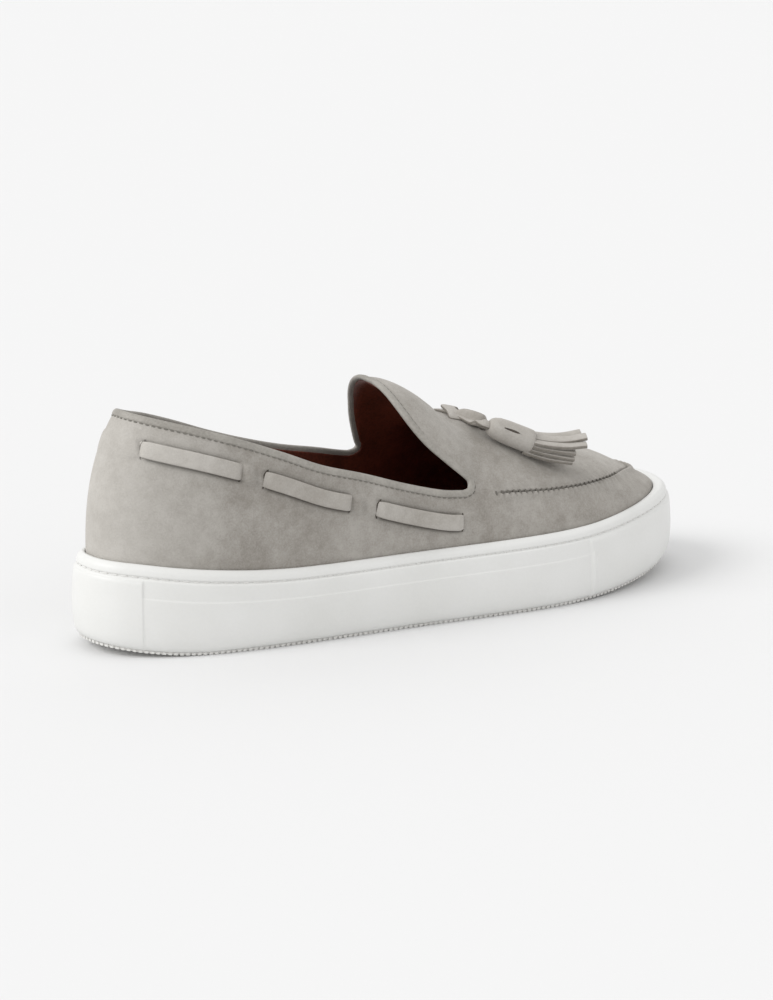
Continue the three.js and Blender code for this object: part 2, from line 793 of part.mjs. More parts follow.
// Lace ends, each from its slit in the vamp through the knot to the cap of its tassel. The two
// tassels lie as they fell, so each side has its own rows.
const lateralEndRows = [
  { along: 0.606, across: -0.04, over: 1.6 },
  { along: 0.614, across: -0.1, over: 3.4 },
  { along: 0.613, across: -0.15, over: 4 },
];
const medialEndRows = [
  { along: 0.612, across: 0.03, over: 1.4 },
  { along: 0.632, across: 0.08, over: 3 },
  { along: 0.66, across: 0.16, over: 3.6 },
];
const knotRows = [
  { along: 0.609, across: 0.035, over: 2.8 },
  { along: 0.62, across: -0.005, over: 4.8 },
  { along: 0.631, across: -0.055, over: 5.4 },
  { along: 0.633, across: -0.1, over: 4.2 },
];
const lateralCapRows = [
  { along: 0.626, across: -0.212, over: 5.9 },
  { along: 0.688, across: -0.258, over: 6 },
];
const medialCapRows = [
  { along: 0.69, across: 0.25, over: 5.9 },
  { along: 0.757, across: 0.293, over: 6 },
];

// Turns stations into those of a strap, square to its route
function strapStations(stations) {
  return stations.map(({ centre, up, size }, k) => {
    const before = stations[Math.max(k - 1, 0)].centre;
    const after = stations[Math.min(k + 1, stations.length - 1)].centre;
    const tangent = after.clone().sub(before).normalize();
    const across = up.clone().cross(tangent).normalize();
    return { centre, across, up: tangent.clone().cross(across), size };
  });
}

function capFrame(rows) {
  const [start, end] = overVamp(rows);
  const axis = end.centre.clone().sub(start.centre).normalize();
  const across = start.up.clone().add(end.up).cross(axis).normalize();
  return { start: start.centre, axis, across, up: axis.clone().cross(across) };
}

function laceEndBody(endRows, capRows) {
  const stations = overVamp(endRows);
  const { start, axis, up } = capFrame(capRows);
  for (const gap of [clearance + laceWidth / 2, clearance]) {
    stations.push({ centre: start.clone().addScaledVector(axis, -gap), up, size: laceTaper });
  }
  return strapBody(strapStations(stations), laceWidth, laceThickness);
}

function knotBody() {
  const wrap = strapBody(
    strapStations(overVamp(knotRows)),
    laceWidth * knotGrowth,
    laceThickness * 2,
  );
  const ends = [
    laceEndBody(lateralEndRows, lateralCapRows),
    laceEndBody(medialEndRows, medialCapRows),
  ];
  return joined([wrap, ...ends]);
}

function tasselBody(capRows) {
  const { start, axis, across, up } = capFrame(capRows);
  const radius = capDiameter / 2;
  const corners = 10;
  const profile = [
    { along: 0, share: 0.6 },
    { along: 0.12, share: 0.85 },
    { along: 0.35, share: 0.97 },
    { along: 1, share: 1 },
  ];
  const cap = closedBody(profile.map(({ along, share }) => {
    const ring = [];
    for (let m = 0; m < corners; m += 1) {
      const angle = (2 * Math.PI * m) / corners;
      ring.push(start.clone()
        .addScaledVector(axis, along * capLength)
        .addScaledVector(across, Math.cos(angle) * radius * share)
        .addScaledVector(up, Math.sin(angle) * radius * share));
    }
    return ring;
  }));
  const foot = start.clone().addScaledVector(axis, capLength - fringeThickness);
  const strips = [];
  for (let k = 0; k < fringeStrips; k += 1) {
    const spread = (k - (fringeStrips - 1) / 2) / ((fringeStrips - 1) / 2);
    const inUpper = k % 2 === 1;
    const stations = fringeRows.map((row) => {
      const curl = inUpper ? row.upperCurl * (1 - 0.5 * Math.abs(spread)) : row.lowerCurl;
      return {
        centre: foot.clone()
          .addScaledVector(axis, row.along * fringeLength)
          .addScaledVector(across, spread * row.splay)
          .addScaledVector(up, curl),
        across,
        up,
      };
    });
    strips.push(strapBody(stations, fringeWidth, fringeThickness));
  }
  return joined([cap, ...strips]);
}

const suede = new THREE.MeshStandardMaterial({ color: 0xa9a69f, roughness: 0.95, metalness: 0 });
const suedeLace = new THREE.MeshStandardMaterial({ color: 0xaeaba4, roughness: 0.92, metalness: 0 });
const piping = new THREE.MeshStandardMaterial({ color: 0x8b8a88, roughness: 0.6, metalness: 0 });
const lining = new THREE.MeshStandardMaterial({ color: 0x3a1d14, roughness: 0.55, metalness: 0 });
const whiteRubber = new THREE.MeshStandardMaterial({ color: 0xe9e9e7, roughness: 0.5, metalness: 0 });
const treadRubber = new THREE.MeshStandardMaterial({ color: 0xcfccc2, roughness: 0.8, metalness: 0 });

const loafer = new THREE.Group();
loafer.position.set(-soleLength / 2, -footprintMiddle, 0);

function addPiece(name, geometry, material) {
  const mesh = new THREE.Mesh(geometry, material);
  mesh.name = name;
  loafer.add(mesh);
}

addPiece('outsole', outsoleBody(), treadRubber);
addPiece('cupsole', cupsoleBody(), whiteRubber);
addPiece('insole', insoleBody(), lining);
addPiece('upper', upperBody(), suede);
addPiece('collar_binding', bindingBody(), piping);
laceRows.forEach((row, k) => {
  addPiece(`lace_bar_lateral_${k + 1}`, laceBarBody(lateral, row), suedeLace);
  addPiece(`lace_bar_medial_${k + 1}`, laceBarBody(medial, row), suedeLace);
});
addPiece('lace_knot', knotBody(), suedeLace);
addPiece('tassel_lateral', tasselBody(lateralCapRows), suedeLace);
addPiece('tassel_medial', tasselBody(medialCapRows), suedeLace);

export default loafer;
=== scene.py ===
"""Right-foot tassel loafer: light grey suede with an apron seam, a laced collar, a knot and two
tassels on the vamp, on a tall white cup sole.

Shapes are worked out in shoe coordinates, in millimetres: x runs from the back of the sole to the
toe, y to the wearer's left and z up from the floor. to_frame turns them into the row's frame.
"""
from collections import namedtuple

import bmesh
import bpy
import numpy as np
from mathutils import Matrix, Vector


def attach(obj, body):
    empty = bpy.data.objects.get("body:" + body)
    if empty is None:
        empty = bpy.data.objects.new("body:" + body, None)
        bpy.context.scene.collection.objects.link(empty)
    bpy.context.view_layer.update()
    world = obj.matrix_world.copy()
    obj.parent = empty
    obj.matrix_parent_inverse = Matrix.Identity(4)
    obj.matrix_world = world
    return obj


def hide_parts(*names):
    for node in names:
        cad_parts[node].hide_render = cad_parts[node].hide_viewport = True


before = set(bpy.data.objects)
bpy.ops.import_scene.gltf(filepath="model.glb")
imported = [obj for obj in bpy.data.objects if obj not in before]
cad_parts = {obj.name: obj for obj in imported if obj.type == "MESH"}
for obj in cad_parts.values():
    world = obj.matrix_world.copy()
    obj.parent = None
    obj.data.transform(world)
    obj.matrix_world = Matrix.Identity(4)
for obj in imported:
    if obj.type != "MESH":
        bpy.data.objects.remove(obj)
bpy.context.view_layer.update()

MM = 0.001

# ---- Sizes, in millimetres
SOLE_LENGTH = 300.0
BALL_WIDTH = 106.0  # over the wall, without its side panels
HEEL_RIM = 39.2  # top of the sole's wall at the back
HEEL_SPRING = 5.0  # how far the sole's edge lifts at the back
HEEL_SPRING_LENGTH = 45.0
TOE_SPRING = 9.0
TOE_SPRING_LENGTH = 105.0
TONGUE_HEIGHT = 100.5
HEEL_TOP = 96.2  # top of the suede at the back
CORNER = {-1: 53.0, 1: 58.6}  # where the collar turns up into the tongue, on each side
TREAD = 3.0
TREAD_INSET = 1.8
WALL_FOOT = 1.3  # how far over the sole's lowest line the white wall ends
WALL_FLARE = 4.4
GROOVE = 0.8
PANEL_PROUD = 0.25
BUMPER_PROUD = 0.6
CUP_DEPTH = 10.0
INSOLE = 4.0
UPPER_WALL = 2.2
SUEDE = 1.0
FEATHER_INSET = 5.6  # from the sole's edge to the foot of the upper
SEAM_HEIGHT = 1.3
PUCKER = 3.0  # from one pleat of the apron seam to the next
LACE_WIDTH = 7.0
LACE_THICKNESS = 1.6
LACE_DROP = 11.3  # from the collar's edge down to the lace's line
CAP_LENGTH = 21.0
CAP_DIAMETER = 11.2
FRINGE_LENGTH = 25.0
GAP = 0.3

LATERAL, MEDIAL = -1, 1
QUARTER_TURN = np.pi / 2
ON_RIDGE = QUARTER_TURN - 1e-6
STRAP_CORNERS = 14
FRINGE_CORNERS = 12

# ---- Places, as shares. Along is a share of the sole's length, across of the ball's width
PANEL = (0.05, 0.735)  # ends of the side panel, along
PANEL_TOP = (0.612, 0.632)  # its upper edge, up the wall
BUMPER_TOP = (0.815, 0.83)
GROOVE_AT = 0.86
APEX = 0.467  # top of the tongue, along
SEAM_START = 0.586
SEAM_STITCHED = (0.59, 0.86)
LACE_BARS = [(0.072, 0.19), (0.226, 0.35), (0.396, 0.525)]  # along at the slits of each bar
SECTION_BEND = 3.0  # how late a section leaves its foot's place for its top's
FOOT_SPREAD = 0.6
TONGUE_FOOT = 0.72

# ---- Tables
OUTLINE = [  # along, lateral, medial
    (0.012, 0.175, 0.165), (0.12, 0.36, 0.345), (0.3, 0.425, 0.335), (0.48, 0.46, 0.35),
    (0.66, 0.545, 0.475), (0.8, 0.5, 0.48), (0.925, 0.355, 0.385), (1.0, 0.115, 0.17),
]
RIM = [  # along, share of HEEL_RIM
    (0, 1.022), (0.05, 0.985), (0.1, 0.93), (0.15, 0.882), (0.21, 0.838), (0.28, 0.812),
    (0.45, 0.812), (0.65, 0.826), (0.75, 0.848), (0.84, 0.91), (0.92, 0.96), (1, 0.99),
]
# Along, share of FEATHER_INSET
INSET = [(0, 1), (0.12, 1), (0.8, 1), (0.93, 1.34), (1, 1.6)]
RIDGE = [  # along, share of TONGUE_HEIGHT
    (0, 1.115), (0.17, 1.175), (0.27, 1.205), (0.37, 1.125), (0.42, 1.065), (0.455, 1),
    (0.5, 0.965), (0.54, 0.9), (0.577, 0.808), (0.62, 0.778), (0.683, 0.71), (0.75, 0.644),
    (0.82, 0.582), (0.873, 0.53), (0.92, 0.478), (1, 0.398),
]
SPINE = [  # along at the section's foot, along where it reaches the ridge
    (0, 0.185), (0.1, 0.2), (0.2, 0.24), (0.3, 0.31), (0.45, 0.45), (0.7, 0.69),
    (0.85, 0.815), (0.93, 0.86), (1, 0.885),
]
SPINE_ACROSS = [  # along at the foot, across at the ridge
    (0, 0), (0.1, 0), (0.2, 0), (0.3, 0), (0.45, 0.015), (0.7, 0.03), (0.85, 0.025),
    (0.93, 0.02), (1, 0.02),
]
ROUNDNESS = [  # along at the foot, power of the section
    (0, 2.3), (0.15, 2.4), (0.3, 2.4), (0.5, 2.1), (0.6, 1.9), (0.7, 1.78), (0.85, 1.7),
    (0.95, 1.8), (1, 2),
]
COLLAR = [  # along, rise on the lateral side, rise on the medial side
    (0.065, 1, 1), (0.1, 0.932, 0.896), (0.14, 0.852, 0.806), (0.19, 0.738, 0.673),
    (0.25, 0.582, 0.497), (0.31, 0.412, 0.343), (0.375, 0.283, 0.205), (0.44, 0.138, 0.102),
    (0.5, 0.028, 0), (0.535, 0, 0),
]
TONGUE = [  # rise, along on the lateral side, along on the medial side
    (0, 0.535, 0.5), (0.015, 0.547, 0.513), (0.06, 0.553, 0.5205), (0.115, 0.554, 0.5215),
    (0.165, 0.549, 0.517), (0.32, 0.522, 0.507), (0.475, 0.497, 0.4975), (0.63, 0.481, 0.489),
    (0.78, 0.472, 0.4795), (0.9, 0.468, 0.472), (0.982, 0.467, 0.467),
]
SEAM_TURN = [  # along at the foot, share of the turn to the ridge
    (0.52, 0.25), (0.59, 0.278), (0.63, 0.291), (0.7, 0.324), (0.78, 0.37), (0.84, 0.417),
    (0.9, 0.492), (0.955, 0.535), (1, 0.55),
]
# Along, share of the seam's relief
SEAM_RELIEF = [(0.5, 0), (0.585, 0), (0.61, 1), (0.7, 1), (1, 1)]
# Wall of the cup: height between tread and rim, inset as a share of WALL_FLARE
WALL = [
    (0, 0.52), (0.05, 0.26), (0.16, 0.08), (0.36, 0), (0.61, 0.08), (0.81, 0.22), (0.885, 0.35),
    (0.95, 0.5), (1, 0.86),
]
# Places on the vamp: along, across, height over the vamp in millimetres
LATERAL_CAP = [(0.618, -0.206, 5.9), (0.68, -0.252, 6.0)]
MEDIAL_CAP = [(0.69, 0.25, 5.9), (0.757, 0.293, 6.0)]
# Fringe strips: share of the length, splay, curl of the upper layer, curl of the lower layers
FRINGE = [(0, 2.9, 2.6, -1.6), (0.35, 3.6, 4.6, -0.6), (0.7, 4.3, 8.0, 1.2), (1, 4.9, 13.0, 3.2)]
# Layers of a fringe: column of FRINGE for their curl, lift, number of strips, share of the length
FRINGE_LAYERS = [(2, 0.0, 3, 0.93), (3, 2.2, 3, 0.86), (3, 0.1, 3, 0.9), (3, -1.9, 3, 0.86)]
# Section of the collar piping: out from the middle of the wall, up from the suede's edge
PIPING = [
    (1.15, -0.9), (1.45, -0.6), (1.6, -0.1), (1.62, 0.6), (1.5, 1.3), (1.2, 1.9), (0.75, 2.25),
    (0.25, 2.3), (-0.2, 2.0), (-0.5, 1.5), (-0.62, 0.8), (-0.6, 0.1), (-0.5, -0.8),
]


# ---- The last
def look_up(table, x, column=1):
    """Smooth value of a table at x, through every row."""
    keys = np.array([row[0] for row in table], float)
    values = np.array([row[column] for row in table], float)
    last = len(keys) - 1
    x = np.clip(np.asarray(x, float), keys[0], keys[-1])
    i = np.clip(np.searchsorted(keys, x, side="right") - 1, 0, last - 1)
    k = np.arange(last + 1)
    before, after = np.maximum(k - 1, 0), np.minimum(k + 1, last)
    slopes = (values[after] - values[before]) / (keys[after] - keys[before])
    step = keys[i + 1] - keys[i]
    f = (x - keys[i]) / step
    return (
        (2 * f**3 - 3 * f**2 + 1) * values[i] + (f**3 - 2 * f**2 + f) * step * slopes[i]
        + (3 * f**2 - 2 * f**3) * values[i + 1] + (f**3 - f**2) * step * slopes[i + 1]
    )


# The sole's outline is a closed cubic curve with one control point to a turn
CONTROL = np.array(
    [(0, 0)] + [(along, -lateral) for along, lateral, _ in OUTLINE]
    + [(along, medial) for along, _, medial in OUTLINE[::-1]], float
)
TURNS = len(CONTROL)


def spline_point(u, weights):
    u = np.mod(np.asarray(u, float), TURNS)
    i = np.floor(u).astype(int)
    w = weights(u - i)
    return sum(w[k][..., None] * CONTROL[(i + k - 1) % TURNS] for k in range(4))


def place_weights(f):
    return (
        (1 - f) ** 3 / 6, (3 * f**3 - 6 * f**2 + 4) / 6,
        (-3 * f**3 + 3 * f**2 + 3 * f + 1) / 6, f**3 / 6,
    )


def slope_weights(f):
    return -((1 - f) ** 2) / 2, (3 * f**2 - 4 * f) / 2, (-3 * f**2 + 2 * f + 1) / 2, f**2 / 2


SAMPLES = spline_point(np.arange(40 * TURNS) / 40, place_weights)
LOWEST, HIGHEST = SAMPLES.min(0), SAMPLES.max(0)
STRETCH = np.array([SOLE_LENGTH, BALL_WIDTH]) / (HIGHEST - LOWEST)
MIDDLE = (HIGHEST[1] + LOWEST[1]) / 2 * STRETCH[1]


def outline(u, inset=0.0):
    """Places in plan round the sole's outline, set in from it."""
    place = spline_point(u, place_weights) - np.array([LOWEST[0], 0])
    slope = spline_point(u, slope_weights) * STRETCH
    normal = np.stack([slope[..., 1], -slope[..., 0]], -1)
    normal /= np.linalg.norm(normal, axis=-1, keepdims=True)
    return place * STRETCH - normal * np.asarray(inset, float)[..., None]


def rim_height(x):
    return HEEL_RIM * look_up(RIM, x / SOLE_LENGTH)


def spring_height(x):
    back = np.maximum(1 - x / HEEL_SPRING_LENGTH, 0)
    front = np.maximum(1 - (SOLE_LENGTH - x) / TOE_SPRING_LENGTH, 0)
    return HEEL_SPRING * back**2 + TOE_SPRING * front**2


def upper_inset(u):
    return FEATHER_INSET * look_up(INSET, outline(u)[..., 0] / SOLE_LENGTH)


def around_of(side, t):
    """Place round the outline at a share t of one side, from heel to toe."""
    t = np.asarray(t, float)
    return t * TURNS / 2 if side == LATERAL else TURNS - t * TURNS / 2


# The sections from heel to toe at close steps: where they start on the sole's edge, where they
# reach the ridge, and how round they are
STEPS = np.linspace(0, 1, 6001)
FEET = {s: outline(around_of(s, STEPS), upper_inset(around_of(s, STEPS))) for s in (-1, 1)}
ALONG = (FEET[-1][:, 0] + FEET[1][:, 0]) / 2 / SOLE_LENGTH
SPINE_X = look_up(SPINE, ALONG) * SOLE_LENGTH
SPINE_Y = look_up(SPINE_ACROSS, ALONG) * BALL_WIDTH
POWER = 2 / look_up(ROUNDNESS, ALONG)
FOOT_RIM = {s: rim_height(FEET[s][:, 0]) for s in (-1, 1)}
RIDGE_Z = TONGUE_HEIGHT * look_up(RIDGE, STEPS)


def section_along(t):
    return np.interp(t, STEPS, ALONG)


def last_point(side, t, turn):
    """Point of the last: t from heel to toe along the edge, turn up the section to the ridge."""
    t, turn = np.broadcast_arrays(np.asarray(t, float), np.asarray(turn, float))
    at = np.clip(t, 0, 1) * (len(STEPS) - 1)
    low = np.minimum(at.astype(int), len(STEPS) - 2)
    share = at - low

    def value(table):
        return table[low] + (table[low + 1] - table[low]) * share

    foot_x, foot_y = value(FEET[side][:, 0]), value(FEET[side][:, 1])
    power, rim = value(POWER), value(FOOT_RIM[side])
    inward = 1 - np.maximum(np.cos(turn), 0) ** power
    rise = np.clip(np.sin(turn), 0, 1) ** power
    x = foot_x + (value(SPINE_X) - foot_x) * inward
    y = foot_y + (value(SPINE_Y) - foot_y) * inward
    ridge = np.interp(x / SOLE_LENGTH, STEPS, RIDGE_Z)
    return np.stack([x, y, rim + (ridge - rim) * rise], -1)


def gauss(x, width):
    return np.exp(-((x / width) ** 2))


def fade(x, low, high):
    """Rises softly from 0 at low to 1 at high."""
    f = np.clip((x - low) / (high - low), 0, 1)
    return f * f * (3 - 2 * f)


def path_length(line):
    """Length along a line at each of its points."""
    return np.concatenate([[0], np.cumsum(np.linalg.norm(np.diff(line, axis=0), axis=1))])


def unit(v):
    return v / np.maximum(np.linalg.norm(v, axis=-1, keepdims=True), 1e-12)


def last_normal(side, t, turn):
    step = 0.004
    t, turn = np.broadcast_arrays(np.asarray(t, float), np.asarray(turn, float))
    ahead = last_point(side, np.minimum(t + step, 1), turn)
    along = ahead - last_point(side, np.maximum(t - step, 0), turn)
    higher = last_point(side, t, np.minimum(turn + step, QUARTER_TURN))
    up = higher - last_point(side, t, np.maximum(turn - step, 0))
    normal = unit(np.cross(along, up)) * (1 if side == LATERAL else -1)
    nothing = np.zeros(t.shape)
    on_ridge = unit(np.stack([-along[..., 2], nothing, along[..., 0]], -1))
    at_heel = unit(np.stack([-up[..., 2], nothing, up[..., 0]], -1))
    normal = np.where((turn > ON_RIDGE)[..., None], on_ridge, normal)
    shared = ((t <= 0) | (t >= 1))[..., None] & (turn <= ON_RIDGE)[..., None]
    ends = np.where((t <= 0)[..., None], at_heel, -at_heel)
    return np.where(shared, ends, normal)


def bisect(below, low, high, rounds=26):
    """Where below turns false between low and high, for arrays."""
    low, high = np.array(low, float), np.array(high, float)
    for _ in range(rounds):
        middle = (low + high) / 2
        under = below(middle)
        low, high = np.where(under, middle, low), np.where(under, high, middle)
    return low


def find_on_last(side, x, z):
    """Where on the last a place of the side view lies."""
    x, z = np.broadcast_arrays(np.asarray(x, float), np.asarray(z, float))
    nothing, one = np.zeros(x.shape), np.ones(x.shape)

    def turn_at(t):
        return bisect(
            lambda turn: last_point(side, t, turn)[..., 2] < z, nothing, one * QUARTER_TURN
        )

    t = bisect(lambda t: last_point(side, t, turn_at(t))[..., 0] < x, nothing, one)
    return t, turn_at(t)


def collar_height(side, x):
    rise = look_up(COLLAR, x / SOLE_LENGTH, 1 if side == LATERAL else 2)
    return CORNER[side] + (HEEL_TOP - CORNER[side]) * rise


def vamp_point(x, y):
    """Point and normal of the vamp under places in plan."""
    x, y = np.broadcast_arrays(np.asarray(x, float), np.asarray(y, float))
    places, normals = [], []
    for one_x, one_y in zip(x.ravel(), y.ravel()):
        side = LATERAL if one_y < 0 else MEDIAL

        def t_at(turn, one_x=one_x, side=side):
            return bisect(lambda t: last_point(side, t, turn)[..., 0] < one_x, 0.0, 1.0, 24)

        turn = bisect(
            lambda turn: np.abs(last_point(side, t_at(turn), turn)[..., 1]) > abs(one_y),
            0.0, QUARTER_TURN, 24,
        )
        places.append(last_point(side, t_at(turn), turn))
        normals.append(last_normal(side, t_at(turn), turn))
    return np.array(places), np.array(normals)


def to_frame(points):
    """From shoe coordinates in millimetres to the row's frame in metres."""
    return (np.asarray(points, float) - [SOLE_LENGTH / 2, MIDDLE, 0]) * MM


def over_vamp(rows):
    """Centres and normals of a piece that runs over the vamp."""
    rows = np.array(rows, float)
    place, normal = vamp_point(rows[:, 0] * SOLE_LENGTH, rows[:, 1] * BALL_WIDTH)
    return place + normal * rows[:, 2:3], normal


# ---- Meshes
def linear(hex_colour):
    """An sRGB hex colour as linear RGBA."""
    parts = [int(hex_colour[i:i + 2], 16) / 255 for i in (1, 3, 5)]
    return [c / 12.92 if c <= 0.04045 else ((c + 0.055) / 1.055) ** 2.4 for c in parts] + [1.0]


def mesh_object(name, points, faces, materials, material_of=None, smooth=True, shade=None):
    """A new object at the origin, from points in shoe millimetres. shade paints shade on its
    points.
    """
    mesh = bpy.data.meshes.new(name)
    mesh.from_pydata(to_frame(points).tolist(), [], [tuple(int(i) for i in f) for f in faces])
    for material in materials:
        mesh.materials.append(material)
    if material_of is not None:
        mesh.polygons.foreach_set("material_index", np.asarray(material_of, np.int32))
    mesh.polygons.foreach_set("use_smooth", [smooth] * len(mesh.polygons))
    if shade is not None:
        layer = mesh.attributes.new("shade", "FLOAT", "POINT")
        layer.data.foreach_set("value", np.asarray(shade, np.float32))
    mesh.validate()
    made = bpy.data.objects.new(name, mesh)
    bpy.context.scene.collection.objects.link(made)
    return made


def grid_faces(rows, columns, wrap_rows=False, wrap_columns=False, start=0):
    """Quads of a grid of points kept row by row."""
    r = np.arange(rows if wrap_rows else rows - 1)
    c = np.arange(columns if wrap_columns else columns - 1)
    r, c = np.meshgrid(r, c, indexing="ij")
    r1, c1 = (r + 1) % rows, (c + 1) % columns
    quads = np.stack([r * columns + c, r * columns + c1, r1 * columns + c1, r1 * columns + c], -1)
    return quads.reshape(-1, 4) + start


def closed_body(made):
    """Merges shared points and turns every face outwards."""
    work = bmesh.new()
    work.from_mesh(made.data)
    bmesh.ops.remove_doubles(work, verts=work.verts, dist=2e-6)
    bmesh.ops.dissolve_degenerate(work, edges=work.edges, dist=1e-7)
    bmesh.ops.recalc_face_normals(work, faces=work.faces)
    if work.calc_volume(signed=True) < 0:
        bmesh.ops.reverse_faces(work, faces=work.faces)
    work.to_mesh(made.data)
    work.free()
    return made


def ribbon(centres, across, up, width, thickness, corners=STRAP_CORNERS, flatness=0.5,
           cap_size=0.55):
    """Points and faces of a strap with rounded edges. width and thickness may be arrays."""
    n = len(centres)
    width = np.broadcast_to(np.asarray(width, float), (n,))
    thickness = np.broadcast_to(np.asarray(thickness, float), (n,))
    angle = 2 * np.pi * np.arange(corners) / corners
    c = np.sign(np.cos(angle)) * np.abs(np.cos(angle)) ** flatness
    s = np.sign(np.sin(angle)) * np.abs(np.sin(angle)) ** 0.7
    rings = (
        centres[:, None, :]
        + across[:, None, :] * (c[None, :] * width[:, None] / 2)[..., None]
        + up[:, None, :] * (s[None, :] * thickness[:, None] / 2)[..., None]
    )
    along = unit(np.gradient(centres, axis=0))
    ends = []
    for k, sign in ((0, -1), (n - 1, 1)):
        inner = centres[k] + (rings[k] - centres[k]) * cap_size
        ends.append(inner + along[k] * sign * thickness[k] * 0.22)
    rings = np.concatenate([ends[0][None], rings, ends[1][None]])
    points = rings.reshape(-1, 3)
    faces = [tuple(f) for f in grid_faces(n + 2, corners, wrap_columns=True)]
    last = (n + 1) * corners
    faces.append(tuple(range(corners - 1, -1, -1)))
    faces.append(tuple(range(last, last + corners)))
    return points, faces


def cut_sides(face_count, corners):
    """Material of a ribbon's faces: 1 on its two cut sides and its ends, 0 elsewhere."""
    facing = np.abs(np.cos(2 * np.pi * (np.arange(corners) + 0.5) / corners))
    on_side = np.where(facing > 0.93, 1, 0)
    return np.concatenate([np.tile(on_side, (face_count - 2) // corners), [1, 1]])


def joined_pieces(name, parts, materials):
    """One object from several closed shells. A part with a third value is a strap of so many
    corners, with the second material on its cut sides."""
    points, faces, which, start = [], [], [], 0
    for places, part_faces, *corners in parts:
        count = len(part_faces)
        points.append(places)
        faces += [tuple(i + start for i in f) for f in part_faces]
        which.append(cut_sides(count, corners[0]) if corners else np.zeros(count, int))
        start += len(places)
    made = mesh_object(name, np.concatenate(points), faces, materials, np.concatenate(which))
    return closed_body(made)


def smooth_path(points, count):
    """Points at even steps along a smooth curve through the given ones."""
    points = np.asarray(points, float)
    keys = path_length(points)
    fine = np.linspace(0, keys[-1], 400)
    curve = np.stack([
        look_up(list(zip(keys, points[:, axis])), fine) for axis in range(3)
    ], -1)
    length = path_length(curve)
    even = np.linspace(0, length[-1], count)
    return np.stack([np.interp(even, length, curve[:, axis]) for axis in range(3)], -1)


def strap_frame(centres, ups):
    """Across and up directions of a strap, square to its route."""
    tangent = unit(np.gradient(centres, axis=0))
    across = unit(np.cross(ups, tangent))
    return across, np.cross(tangent, across)


def fit(made, node=None):
    """Puts a finished piece on the shoe's one body, in the place of its solid if it has one."""
    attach(made, "root")
    if node:
        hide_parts(node)


# ---- Materials
def add(tree, kind, links=None, **settings):
    """A new node with its settings, and its inputs set or linked."""
    node = tree.nodes.new(kind)
    for key, value in settings.items():
        setattr(node, key, value)
    for name, source in (links or {}).items():
        socket = node.inputs[name]
        if isinstance(source, bpy.types.NodeSocket):
            tree.links.new(source, socket)
        else:
            socket.default_value = source
    return node


def new_material(name):
    material = bpy.data.materials.new(name)
    material.use_nodes = True
    material.node_tree.nodes.clear()
    return material, material.node_tree


def two_tones(tree, factor, dark, light):
    """Colour between two hex tones."""
    mix = add(tree, "ShaderNodeMix", {"Factor": factor}, data_type="RGBA")
    mix.inputs[6].default_value = linear(dark)
    mix.inputs[7].default_value = linear(light)
    return mix.outputs[2]


def noise(tree, size_mm, detail=3.0, roughness=0.55, stretch=None):
    """Noise whose patches are about size_mm across, in Object coordinates."""
    where = add(tree, "ShaderNodeTexCoord").outputs["Object"]
    if stretch:
        where = add(tree, "ShaderNodeMapping", {"Vector": where, "Scale": stretch}).outputs[0]
    return add(tree, "ShaderNodeTexNoise", {
        "Vector": where, "Scale": 1 / (size_mm * MM), "Detail": detail, "Roughness": roughness,
    }).outputs["Fac"]


def remap(tree, value, low, high, to_low=0.0, to_high=1.0):
    return add(tree, "ShaderNodeMapRange", {
        0: value, 1: low, 2: high, 3: to_low, 4: to_high,
    }).outputs[0]


def finish_surface(tree, colour, height, depth_mm, **shader):
    """Principled surface with a bump of a real depth."""
    bump = add(tree, "ShaderNodeBump", {
        "Height": height, "Distance": depth_mm * MM, "Strength": 1.0,
    }).outputs[0]
    surface = add(tree, "ShaderNodeBsdfPrincipled", {"Base Color": colour, "Normal": bump})
    for name, value in shader.items():
        surface.inputs[name.replace("_", " ")].default_value = value
    add(tree, "ShaderNodeOutputMaterial", {"Surface": surface.outputs[0]})
    return surface


def sum_of(tree, *values):
    """Weighted sum of (value, weight) pairs."""
    total = None
    for value, weight in values:
        scaled = add(tree, "ShaderNodeMath", {0: value, 1: weight}, operation="MULTIPLY").outputs[0]
        if total is None:
            total = scaled
        else:
            total = add(tree, "ShaderNodeMath", {0: total, 1: scaled}).outputs[0]
    return total


# Painted light: how far towards the heel the suede is painted paler
PAINTED_HEEL_LIGHT = (-0.098, -0.138)  # metres along the frame's x, from none to the most


